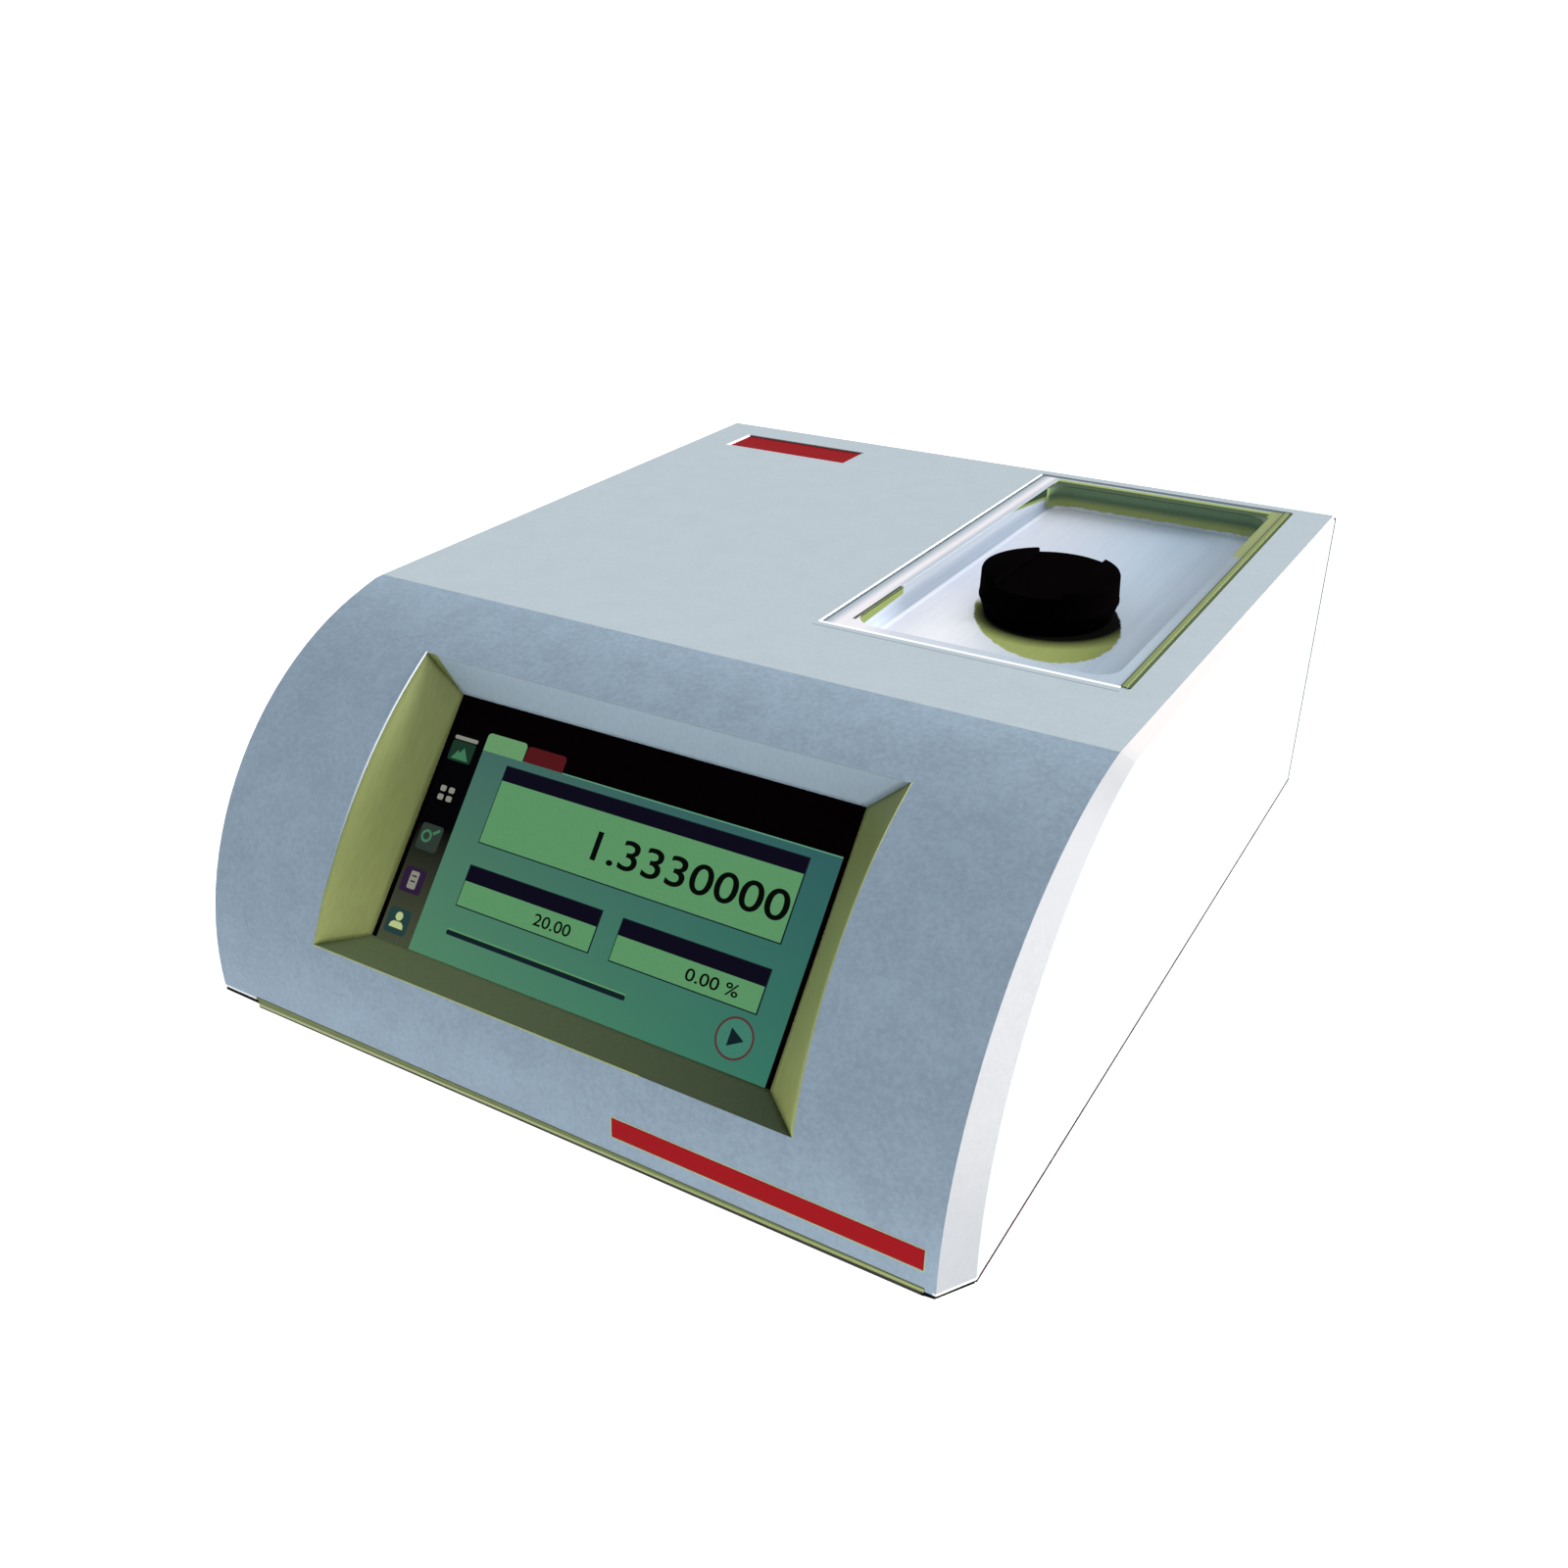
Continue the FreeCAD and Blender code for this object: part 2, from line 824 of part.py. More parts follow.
def make_upper_housing():
    outer = outer_body()
    inner = wide_body(inner_radius, ceiling, base_bottom - overrun, back + overrun, inner_side)
    # The corner chamfer is deeper than the wall at the foot, so the wall follows it inside
    shell = outer.cut(inner)
    liners = []
    for cut in corner_cuts():
        inward = cut.copy()
        toward = -housing_wall if cut.BoundBox.Center.x > 0 else housing_wall
        inward.translate(Vector(toward, housing_wall, -housing_wall / 2))
        liners.append(inward)
    backing = fused([outer.common(liner) for liner in liners])
    inside = [recess_tool(housing_wall)] + screen_bosses()
    inside += [post_with_rib(place) for place in post_places()]
    # The two lower screws of the rear panel go into the base plate
    inside += [rear_boss(place) for place in rear_screw_places() if place.z > (base_top + top) / 2]
    added = [shape.common(outer) for shape in inside]
    body = shell.fuse([backing] + added)
    cuts = [recess_tool(0)]
    cuts.append(pocket_box(pocket_floor, top + overrun, 0))
    cuts.append(pan_box(ceiling - overrun, top + overrun, tray_sheet + general_clearance))
    cuts.append(top_plate_box(top - top_plate_sink - top_plate_thickness, top + overrun, plate_gap))
    cuts.append(strip_sector(front_radius + overrun, front_radius - strip_thickness, plate_gap))
    cuts.append(box(lip_notch_left_inset - side, side - lip_notch_right_inset,
                    front - overrun, front + housing_wall + overrun,
                    base_bottom - overrun, base_bottom + lip_notch_height))
    cuts.append(base_room())
    for place in post_places():
        cuts.append(cylinder(pilot_bore, place, UP, screw_length + overrun))
    for place in rear_screw_places():
        cuts.append(cylinder(small_pilot_bore, place, FORWARD, rear_boss_length))
    for x, y in screen_boss_places():
        hole = cylinder(small_pilot_bore, Vector(x, y, -screen_stack_depth()), UP,
                        small_screw_length + general_clearance)
        cuts.append(placed(hole, SCREEN))
    return body.cut(cuts).removeSplitter()


def base_room():
    """The space that posts and ribs leave for the floor of the base plate."""
    half = inner_side
    return box(-half, half, front + housing_wall + overrun, back + overrun, base_bottom - overrun, base_top)


# Screen

def make_touch_glass():
    half_w = window_width / 2 + glass_margin
    half_h = window_height / 2 + glass_margin
    return placed(box(-half_w, half_w, -half_h, half_h, -glass_thickness, 0), SCREEN)


def module_box(z0, z1, shrink):
    half_w = window_width / 2 + module_margin_side - shrink
    half_h = window_height / 2 + module_margin_end - shrink
    return box(-half_w, half_w, -half_h, half_h, z0, z1)


def make_display_module():
    """Thin pressed tray with a step round its edge, as display panels have."""
    back_z = -screen_stack_depth()
    body = module_box(back_z, -glass_thickness - module_lip, 0)
    face = module_box(back_z, -glass_thickness, module_lip * 2)
    return placed(fused([body, face]), SCREEN)


def make_display_bracket():
    z1 = -screen_stack_depth()
    z0 = z1 - bracket_thickness
    half_w = screen_boss_x() + bracket_ear_overlap
    half_h = bracket_height / 2
    plate = rounded_box(-half_w, half_w, -half_h, half_h, z0, z1, screen_boss_diameter / 2)
    hole_w = window_width / 2 - bracket_window_margin
    hole_h = window_height / 2 - bracket_window_margin
    window = rounded_box(-hole_w, hole_w, -hole_h, hole_h, z0 - overrun, z1 + overrun,
                         screen_boss_diameter / 2)
    cuts = [window]
    for x, y in screen_boss_places():
        cuts.append(cylinder(small_clear_bore, Vector(x, y, z0 - overrun), UP,
                             bracket_thickness + 2 * overrun))
    bars = []
    for x, y in display_board_places():
        bars.append(cylinder(standoff_diameter, Vector(x, y, z0 - display_board_standoff), UP,
                             display_board_standoff))
    bridges = []
    for x in sorted({place[0] for place in display_board_places()}):
        bridges.append(box(x - standoff_diameter, x + standoff_diameter, -hole_h - bracket_thickness,
                           hole_h + bracket_thickness, z0, z1))
    return placed(fused([plate.cut(cuts)] + bridges + bars), SCREEN)


def display_board_places():
    x = display_board_width / 2 - display_board_inset
    y = display_board_height / 2 - display_board_inset
    return [(sx * x, sy * y) for sx in (-1, 1) for sy in (-1, 1)]


def display_board_top():
    return -screen_stack_depth() - bracket_thickness - display_board_standoff


def make_display_board():
    z1 = display_board_top()
    z0 = z1 - board_thickness
    half_w = display_board_width / 2
    half_h = display_board_height / 2
    return placed(box(-half_w, half_w, -half_h, half_h, z0, z1), SCREEN)


def make_display_board_parts():
    z1 = display_board_top() - board_thickness
    chip = box(-display_chip_size / 2, display_chip_size / 2, -display_chip_size / 2, display_chip_size / 2,
               z1 - display_chip_thickness, z1)
    low_y = -display_board_height / 2 + display_board_inset * 2
    connector = box(-display_connector_length / 2, display_connector_length / 2, low_y,
                    low_y + display_connector_depth, z1 - display_connector_height, z1)
    return group([placed(chip, SCREEN), placed(connector, SCREEN)])


def make_bracket_screws():
    screws = []
    seat_z = -screen_stack_depth() - bracket_thickness
    for x, y in screen_boss_places():
        screws.append(placed(small_screw(Vector(x, y, seat_z), UP), SCREEN))
    return group(screws)


# Base, feet and their screws

def foot_places():
    x = side - foot_inset_side
    y = housing_depth / 2 - foot_inset_end
    return [Vector(sx * x, sy * y, 0) for sx in (-1, 1) for sy in (-1, 1)]


def make_rubber_feet():
    feet = []
    for place in foot_places():
        foot = cone(foot_bottom_diameter, foot_top_diameter, place, UP, foot_height)
        recess = cylinder(foot_screw_recess_diameter, place, UP, foot_screw_recess_depth)
        bore = cylinder(clear_bore, place, UP, foot_height)
        feet.append(foot.cut([recess, bore]))
    return group(feet)


def make_foot_screws():
    return group([large_screw(place + UP * foot_screw_recess_depth, UP) for place in foot_places()])


def fan_vents():
    """Slots in the base plate under the fan, trimmed to a round outline."""
    centre = well_centre(base_bottom - overrun)
    slots = []
    for index in range(vent_slot_count):
        x = prism_x + (index - (vent_slot_count - 1) / 2) * vent_slot_pitch
        slots.append(box(x - vent_slot_width / 2, x + vent_slot_width / 2, prism_y - vent_radius,
                         prism_y + vent_radius, base_bottom - overrun, base_top + overrun))
    round_tool = cylinder(2 * vent_radius, centre, UP, base_thickness + 2 * overrun)
    return [slot.common(round_tool) for slot in slots]


def base_half_width():
    return inner_side - general_clearance


def make_base_plate():
    half = base_half_width()
    flange_back = panel_front
    floor_front = front + housing_wall + general_clearance
    corner_x = half - corner_cut_bottom - general_clearance
    corner_y = floor_front + corner_cut_setback + general_clearance
    outline = [(corner_x, floor_front), (half, corner_y), (half, flange_back),
               (-half, flange_back), (-half, corner_y), (-corner_x, floor_front)]
    floor = prism([Vector(x, y, base_bottom) for x, y in outline], UP * base_thickness)
    lip_left = lip_notch_left_inset + general_clearance - side
    lip_right = side - lip_notch_right_inset - general_clearance
    lip_front = front + base_lip_setback
    lip_low = base_bottom - base_lip_drop
    lip_high = base_bottom + lip_notch_height - general_clearance
    lip = box(lip_left, lip_right, lip_front, floor_front + base_lip_overlap, lip_low, lip_high)
    groove = box(lip_left - overrun, lip_right + overrun, front - overrun, lip_front + base_lip_groove_depth,
                 lip_low + base_lip_bar_height, lip_high + overrun)
    lip = lip.cut(groove)
    flange_z = base_top + base_flange_height
    flange_front = front + front_radius
    left = box(-half, -half + base_thickness, flange_front, flange_back, base_bottom, flange_z)
    rear = box(-half, half, flange_back - base_thickness, flange_back, base_bottom, flange_z)
    adds = [floor, lip, left, mirrored_x(left), rear]
    for place in foot_places():
        adds.append(cylinder(base_nut_diameter, Vector(place.x, place.y, base_bottom), UP,
                             base_thickness + base_nut_height))
    lower = [place for place in rear_screw_places() if place.z < (base_top + top) / 2]
    for place in lower:
        adds.append(cylinder(base_nut_diameter, place, FORWARD, base_thickness + base_nut_height))
    plate = fused(adds)
    cuts = fan_vents()
    # The rear flange opens where the sockets reach the panel
    board_half = main_board_width / 2 + general_clearance
    cuts.append(box(main_board_x - board_half, main_board_x + board_half,
                    flange_back - base_thickness - overrun, flange_back + overrun,
                    base_top, flange_z + overrun))
    for place in foot_places():
        start = Vector(place.x, place.y, base_bottom)
        cuts.append(cylinder(clear_bore, start, UP, base_thickness + base_nut_height))
    for place in post_places():
        start = Vector(place.x, place.y, base_bottom)
        cuts.append(cylinder(clear_bore, start, UP, base_thickness))
        # The flange is relieved where a post with its rib stands at the side wall
        outside_x = math.copysign(side, place.x)
        cuts.append(box(min(place.x, outside_x), max(place.x, outside_x), place.y - post_diameter,
                        place.y + post_diameter, base_top, flange_z + overrun))
    for place in lower:
        cuts.append(cylinder(small_clear_bore, place, FORWARD, base_thickness + base_nut_height))
    for place in fan_screw_places() + sink_post_places() + board_screw_places() + supply_screw_places():
        cuts.append(cylinder(small_clear_bore, Vector(place.x, place.y, base_bottom), UP, base_thickness))
    return plate.cut(cuts)


def make_housing_screws():
    return group([large_screw(Vector(place.x, place.y, base_bottom), UP) for place in post_places()])


# Rear panel and what it carries

def inlet_centre():
    return Vector(inlet_side_inset - side, panel_back, base_bottom + inlet_centre_height)


def socket_centre(x, height):
    return Vector(x, panel_back, board_top + height / 2)


def rear_box(centre, width, height, y0, y1):
    """A box seen square on from behind: its middle, width and height there, and its reach in depth."""
    half_w = width / 2
    half_h = height / 2
    return box(centre.x - half_w, centre.x + half_w, y0, y1, centre.z - half_h, centre.z + half_h)


def usb_places():
    places = []
    for index in range(usb_count):
        z = board_top + usb_height / 2 + index * usb_stack_pitch
        places.append(Vector(usb_x, panel_back, z))
    return places


def make_rear_panel():
    half = base_half_width()
    panel = box(-half, half, panel_front, panel_back, base_bottom, ceiling - general_clearance)
    y0 = panel_front - overrun
    y1 = panel_back + overrun
    cuts = []
    inlet = inlet_centre()
    cuts.append(rear_box(inlet, inlet_body_width + general_clearance,
                         inlet_body_height + general_clearance, y0, y1))
    for x in (-inlet_screw_pitch / 2, inlet_screw_pitch / 2):
        start = Vector(inlet.x + x, y0, inlet.z - inlet_cavity_drop + inlet_cavity_height / 2)
        cuts.append(cylinder(small_clear_bore, start, BACKWARD, y1 - y0))
    for place in rear_screw_places():
        cuts.append(cylinder(small_clear_bore, Vector(place.x, y0, place.z), BACKWARD, y1 - y0))
    serial = socket_centre(serial_x, serial_face_height)
    gap = 2 * socket_gap
    cuts.append(rear_box(serial, serial_shell_width + 2 * serial_shell_wall + gap + general_clearance,
                         serial_shell_height + 2 * serial_shell_wall + gap, y0, y1))
    for x in (-serial_lock_pitch / 2, serial_lock_pitch / 2):
        cuts.append(cylinder(small_clear_bore, Vector(serial.x + x, y0, serial.z), BACKWARD, y1 - y0))
    lowest = usb_places()[0]
    highest = usb_places()[-1]
    usb_middle = Vector(usb_x, panel_back, (lowest.z + highest.z) / 2)
    cuts.append(rear_box(usb_middle, usb_width + gap, highest.z - lowest.z + usb_height + gap, y0, y1))
    network = socket_centre(network_x, network_height)
    cuts.append(rear_box(network, network_width + gap, network_height + gap, y0, y1))
    for index in range(louvre_count):
        x = side - louvre_side_inset + (index - (louvre_count - 1) / 2) * louvre_pitch
        centre = Vector(x, panel_back, base_bottom + louvre_centre_height)
        slot = rear_box(centre, louvre_width, louvre_height, y0, y1)
        cuts.append(slot)
    return panel.cut(cuts)


def make_rear_panel_screws():
    screws = []
    for place in rear_screw_places():
        screws.append(small_screw(Vector(place.x, panel_back, place.z), FORWARD))
    return group(screws)


def inlet_cavity_centre():
    centre = inlet_centre()
    return Vector(centre.x, centre.y, centre.z - inlet_cavity_drop + inlet_cavity_height / 2)


def cavity_outline(centre, width, height, cut):
    """The inlet's recess: a rectangle with its two upper corners cut."""
    half_w = width / 2
    half_h = height / 2
    return [
        Vector(centre.x - half_w, centre.y, centre.z - half_h),
        Vector(centre.x + half_w, centre.y, centre.z - half_h),
        Vector(centre.x + half_w, centre.y, centre.z + half_h - cut),
        Vector(centre.x + half_w - cut, centre.y, centre.z + half_h),
        Vector(centre.x - half_w + cut, centre.y, centre.z + half_h),
        Vector(centre.x - half_w, centre.y, centre.z + half_h - cut),
    ]


def drawer_centre():
    centre = inlet_centre()
    return Vector(centre.x, centre.y, centre.z + drawer_rise + drawer_height / 2)


def rocker_centre():
    centre = inlet_centre()
    return Vector(centre.x, centre.y, centre.z + rocker_rise)


def rocker_pivot():
    centre = rocker_centre()
    return Vector(centre.x, centre.y + inlet_face_thickness - rocker_pivot_depth, centre.z)


def rocker_swing_radius():
    return rocker_width / 2 + rocker_swing_margin


def flange_ears(centre):
    ear_z = inlet_cavity_centre().z
    half = inlet_ear_span / 2
    return box(centre.x - half, centre.x + half, panel_back, panel_back + inlet_face_thickness,
               ear_z - inlet_ear_height / 2, ear_z + inlet_ear_height / 2)


def make_power_inlet():
    centre = inlet_centre()
    outer_face = panel_back + inlet_face_thickness
    face = rear_box(centre, inlet_face_width, inlet_face_height, panel_back, outer_face)
    body = rear_box(centre, inlet_body_width, inlet_body_height, panel_back - inlet_body_depth, panel_back)
    solid = fused([face, flange_ears(centre), body])
    cavity_middle = inlet_cavity_centre()
    start = Vector(cavity_middle.x, outer_face, cavity_middle.z)
    cavity = prism(cavity_outline(start, inlet_cavity_width, inlet_cavity_height, inlet_cavity_cut),
                   FORWARD * inlet_cavity_depth)
    core_start = Vector(start.x, outer_face - inlet_cavity_depth, start.z)
    core = prism(cavity_outline(core_start, inlet_core_width, inlet_core_height, inlet_cavity_cut / 2),
                 BACKWARD * inlet_core_length)
    cavity = cavity.cut(core)
    cuts = [cavity] + pin_boxes()
    drawer = drawer_centre()
    gap = 2 * drawer_clearance
    cuts.append(rear_box(drawer, drawer_width + gap, drawer_height + gap,
                         outer_face - drawer_depth, outer_face))
    rocker = rocker_centre()
    cuts.append(rear_box(rocker, 2 * (rocker_swing_radius() + rocker_clearance),
                         rocker_height + 2 * rocker_clearance, outer_face - rocker_well_depth, outer_face))
    pivot = rocker_pivot()
    half = rocker_height / 2 + rocker_pin_length + rocker_clearance
    pin_hole = cylinder(rocker_pin_diameter + 2 * rocker_pin_clearance, pivot - UP * half, UP, 2 * half)
    cuts.append(pin_hole)
    for x in (-inlet_screw_pitch / 2, inlet_screw_pitch / 2):
        start = Vector(centre.x + x, panel_back, cavity_middle.z)
        cuts.append(cylinder(small_clear_bore, start, BACKWARD, inlet_face_thickness))
    return solid.cut(cuts)


def pin_boxes():
    middle = inlet_cavity_centre()
    outer_face = panel_back + inlet_face_thickness
    root = outer_face - inlet_cavity_depth - pin_root_depth
    tip = outer_face - pin_tip_depth
    pins = []
    for x, z in ((-pin_pitch, pin_rise), (pin_pitch, pin_rise), (0, -pin_earth_drop)):
        place = Vector(middle.x + x, 0, middle.z - z)
        pins.append(rear_box(place, pin_width, pin_height, root, tip))
    return pins


def make_inlet_pins():
    return group(pin_boxes())


def make_inlet_screws():
    centre = inlet_centre()
    seat_y = panel_back + inlet_face_thickness
    z = inlet_cavity_centre().z
    screws = []
    for x in (-inlet_screw_pitch / 2, inlet_screw_pitch / 2):
        screws.append(small_screw(Vector(centre.x + x, seat_y, z), FORWARD))
    return group(screws)


def make_fuse_drawer():
    """A small drawer with a finger lip and a cradle for the fuse."""
    centre = drawer_centre()
    outer_face = panel_back + inlet_face_thickness
    handle_y = outer_face + drawer_face_proud
    body = rear_box(centre, drawer_width, drawer_height, outer_face - drawer_depth, handle_y)
    lip_place = Vector(centre.x, centre.y, centre.z + drawer_height / 2 - drawer_wall)
    lip = rear_box(lip_place, drawer_lip_width, drawer_wall, handle_y, handle_y + drawer_lip_proud)
    z_floor = centre.z - drawer_height / 2 + drawer_wall
    half = drawer_width / 2 - drawer_wall
    room = box(centre.x - half, centre.x + half, outer_face - drawer_depth + drawer_wall,
               outer_face - drawer_wall, z_floor, centre.z + drawer_height)
    return fused([body, lip]).cut(room)


def make_fuse():
    centre = drawer_centre()
    outer_face = panel_back + inlet_face_thickness
    z = centre.z - drawer_height / 2 + drawer_wall + fuse_diameter / 2
    y = outer_face - drawer_depth / 2
    x0 = centre.x - drawer_width / 2 + drawer_wall
    length = min(fuse_length, drawer_width - 2 * drawer_wall)
    start = Vector(x0, y, z)
    glass_end = length - fuse_cap_length
    first_cap = cylinder(fuse_diameter, start, RIGHT, fuse_cap_length)
    last_cap = cylinder(fuse_diameter, start + RIGHT * glass_end, RIGHT, fuse_cap_length)
    tube = cylinder(fuse_diameter - drawer_wall, start + RIGHT * fuse_cap_length, RIGHT,
                    glass_end - fuse_cap_length)
    return fused([first_cap, tube, last_cap])


def make_power_rocker():
    """Seen from above, the rocker's face is two flats that meet over the pivot."""
    pivot = rocker_pivot()
    z0 = pivot.z - rocker_height / 2
    half = rocker_width / 2
    lean = math.radians(rocker_travel / 2)
    crest = rocker_pivot_depth + rocker_proud
    drop = math.tan(lean) * half
    points = [
        Vector(pivot.x - half, pivot.y + crest - rocker_pivot_depth, z0),
        Vector(pivot.x - half, pivot.y + crest + drop, z0),
        Vector(pivot.x, pivot.y + crest, z0),
        Vector(pivot.x + half, pivot.y + crest + drop, z0),
        Vector(pivot.x + half, pivot.y + crest - rocker_pivot_depth, z0),
    ]
    plate = prism(points, UP * rocker_height)
    heel = cylinder(2 * rocker_heel_radius, Vector(pivot.x, pivot.y, z0), UP, rocker_height)
    heel = heel.common(box(pivot.x - half, pivot.x + half, pivot.y - rocker_heel_radius, pivot.y + crest,
                           z0, z0 + rocker_height))
    pin_start = Vector(pivot.x, pivot.y, z0 - rocker_pin_length)
    pin = cylinder(rocker_pin_diameter, pin_start, UP, rocker_height + 2 * rocker_pin_length)
    # Its ends are round about the pivot, so that they clear the well as it tips
    swing = cylinder(2 * rocker_swing_radius(), Vector(pivot.x, pivot.y, z0), UP, rocker_height)
    body = fused([fused([plate, heel]).common(swing), pin])
    # The switch is off at rest, so the rocker stands at one end of its travel
    body.rotate(pivot, UP, -rocker_travel / 2)
    return body


def shell_outline(centre, width, height, slope, grow):
    """The serial socket's D shape: both ends lean in towards the bottom."""
    half_h = height / 2 + grow
    top_w = width / 2 + grow
    low_w = top_w - slope
    return [
        Vector(centre.x - top_w, centre.y, centre.z + half_h),
        Vector(centre.x + top_w, centre.y, centre.z + half_h),
        Vector(centre.x + low_w, centre.y, centre.z - half_h),
        Vector(centre.x - low_w, centre.y, centre.z - half_h),
    ]


def make_serial_socket():
    centre = socket_centre(serial_x, serial_face_height)
    face_front = panel_front - serial_face_thickness
    face = rear_box(centre, serial_face_width, serial_face_height, face_front, panel_front)
    body_width = serial_lock_pitch - serial_lock_hex - general_clearance
    body = rear_box(centre, body_width, serial_face_height, face_front - serial_body_depth, face_front)
    start = Vector(centre.x, panel_front, centre.z)
    length = serial_shell_length + rear_panel_thickness
    outer = prism(shell_outline(start, serial_shell_width, serial_shell_height, serial_shell_slope,
                                serial_shell_wall), BACKWARD * length)
    inner = prism(shell_outline(start, serial_shell_width, serial_shell_height, serial_shell_slope, 0),
                  BACKWARD * length)
    shapes = [face, body, outer.cut(inner)]
    pins = []
    pin_length = length - serial_pin_setback
    for row in range(serial_pin_rows):
        count = serial_long_row_pins - row
        z = centre.z + serial_row_pitch / 2 - row * serial_row_pitch
        for index in range(count):
            x = centre.x + (index - (count - 1) / 2) * serial_pin_pitch
            pins.append(cylinder(serial_pin_diameter, Vector(x, panel_front, z), BACKWARD, pin_length))
    whole = fused(shapes + pins)
    holes = []
    for x in (-serial_lock_pitch / 2, serial_lock_pitch / 2):
        holes.append(cylinder(small_clear_bore,
                              Vector(centre.x + x, face_front, centre.z), BACKWARD, serial_face_thickness))
    return whole.cut(holes)


def hexagon(centre, across, way):
    radius = across / math.sqrt(3)
    sides = 6
    points = []
    for index in range(sides):
        angle = 2 * math.pi * index / sides
        spoke = Vector(math.cos(angle), 0, math.sin(angle))
        points.append(centre + spoke * radius)
    return prism(points, way)


def make_serial_screw_locks():
    centre = socket_centre(serial_x, serial_face_height)
    locks = []
    for x in (-serial_lock_pitch / 2, serial_lock_pitch / 2):
        start = Vector(centre.x + x, panel_back, centre.z)
        lock = hexagon(start, serial_lock_hex, BACKWARD * serial_lock_length)
        stud_length = rear_panel_thickness + serial_face_thickness + small_screw_diameter
        stud = cylinder(small_screw_diameter, start, FORWARD, stud_length)
        bore = cylinder(serial_lock_bore, start, BACKWARD, serial_lock_length)
        locks.append(fused([lock, stud]).cut(bore))
    return group(locks)


def make_usb_sockets():
    """Two stacked sockets: folded shells with a tongue inside."""
    sockets = []
    for place in usb_places():
        y0 = panel_back - usb_depth
        shell = rear_box(place, usb_width, usb_height, y0, panel_back)
        room = rear_box(place, usb_width - 2 * usb_wall, usb_height - 2 * usb_wall, y0 + usb_wall,
                        panel_back)
        tongue_place = Vector(place.x, place.y, place.z + usb_tongue_drop)
        tongue = rear_box(tongue_place, usb_tongue_width, usb_tongue_thickness, y0 + usb_wall,
                          panel_back - usb_flange)
        sockets.append(fused([shell.cut(room), tongue]))
    low = usb_places()[0]
    high = usb_places()[-1]
    carrier = box(usb_x - usb_width / 2, usb_x + usb_width / 2, panel_back - usb_depth,
                  panel_front - usb_flange, low.z + usb_height / 2, high.z - usb_height / 2)
    return fused(sockets + [carrier])


def make_network_socket():
    centre = socket_centre(network_x, network_height)
    body = rear_box(centre, network_width, network_height, panel_back - network_depth, panel_back)
    port = Vector(centre.x, centre.y, centre.z - network_port_drop)
    port_end = panel_back - network_port_depth
    room = rear_box(port, network_port_width, network_port_height, port_end, panel_back)
    latch_place = Vector(port.x, port.y, port.z + network_port_height / 2 + network_latch_height / 2)
    latch = rear_box(latch_place, network_latch_width, network_latch_height, port_end, panel_back)
    return body.cut([room, latch])


# Boards and supply

def board_screw_places():
    places = []
    for x in (-main_board_width / 2 + standoff_inset, main_board_width / 2 - standoff_inset):
        for y in (main_board_front + standoff_inset, main_board_back - standoff_rear_setback):
            places.append(Vector(main_board_x + x, y, base_top))
    return places


def make_main_board():
    x0 = main_board_x - main_board_width / 2
    board = box(x0, x0 + main_board_width, main_board_front, main_board_back, board_bottom, board_top)
    cuts = []
    for place in board_screw_places():
        cuts.append(cylinder(small_clear_bore, Vector(place.x, place.y, board_bottom), UP, board_thickness))
    return board.cut(cuts)


def make_board_standoffs():
    """Round pillars with a threaded hole from both ends."""
    pillars = []
    for place in board_screw_places():
        pillar = cylinder(standoff_diameter, place, UP, standoff_height)
        bore = cylinder(small_pilot_bore, place, UP, standoff_height)
        pillars.append(pillar.cut(bore))
    return group(pillars)


def make_board_screws():
    """Screws through the board from above and through the base plate from below."""
    screws = []
    short = standoff_height / 2
    for place in board_screw_places():
        seat = Vector(place.x, place.y, board_top)
        screws.append(pan_screw(small_screw_diameter, small_screw_head_diameter, small_screw_head_height,
                                short, seat, DOWN))
        seat = Vector(place.x, place.y, base_bottom)
        screws.append(pan_screw(small_screw_diameter, small_screw_head_diameter, small_screw_head_height,
                                short, seat, UP))
    return group(screws)


def board_place(x_share, y_share):
    x = main_board_x + (x_share - half_share) * main_board_width
    y = main_board_front + y_share * main_board_length
    return Vector(x, y, board_top)


def make_board_components():
    shapes = []
    for x_share, y_share, width_share, length_share, height_share in chip_shares:
        place = board_place(x_share, y_share)
        shapes.append(block_at(place, width_share * main_board_width, length_share * main_board_length,
                               height_share * component_height))
    for x_share, y_share in capacitor_shares:
        shapes.append(cylinder(capacitor_diameter, board_place(x_share, y_share), UP, capacitor_height))
    return group(shapes)


def supply_bounds():
    x0 = supply_side_inset - side - supply_width / 2
    y0 = front + supply_front_setback
    return x0, x0 + supply_width, y0, y0 + supply_length


def supply_screw_places():
    x0, x1, y0, y1 = supply_bounds()
    left_and_right = (x0 + supply_screw_inset_side, x1 - supply_screw_inset_side)
    front_and_back = (y0 + supply_screw_inset_front, y1 - supply_screw_inset_back)
    return [Vector(x, y, base_top) for x in left_and_right for y in front_and_back]


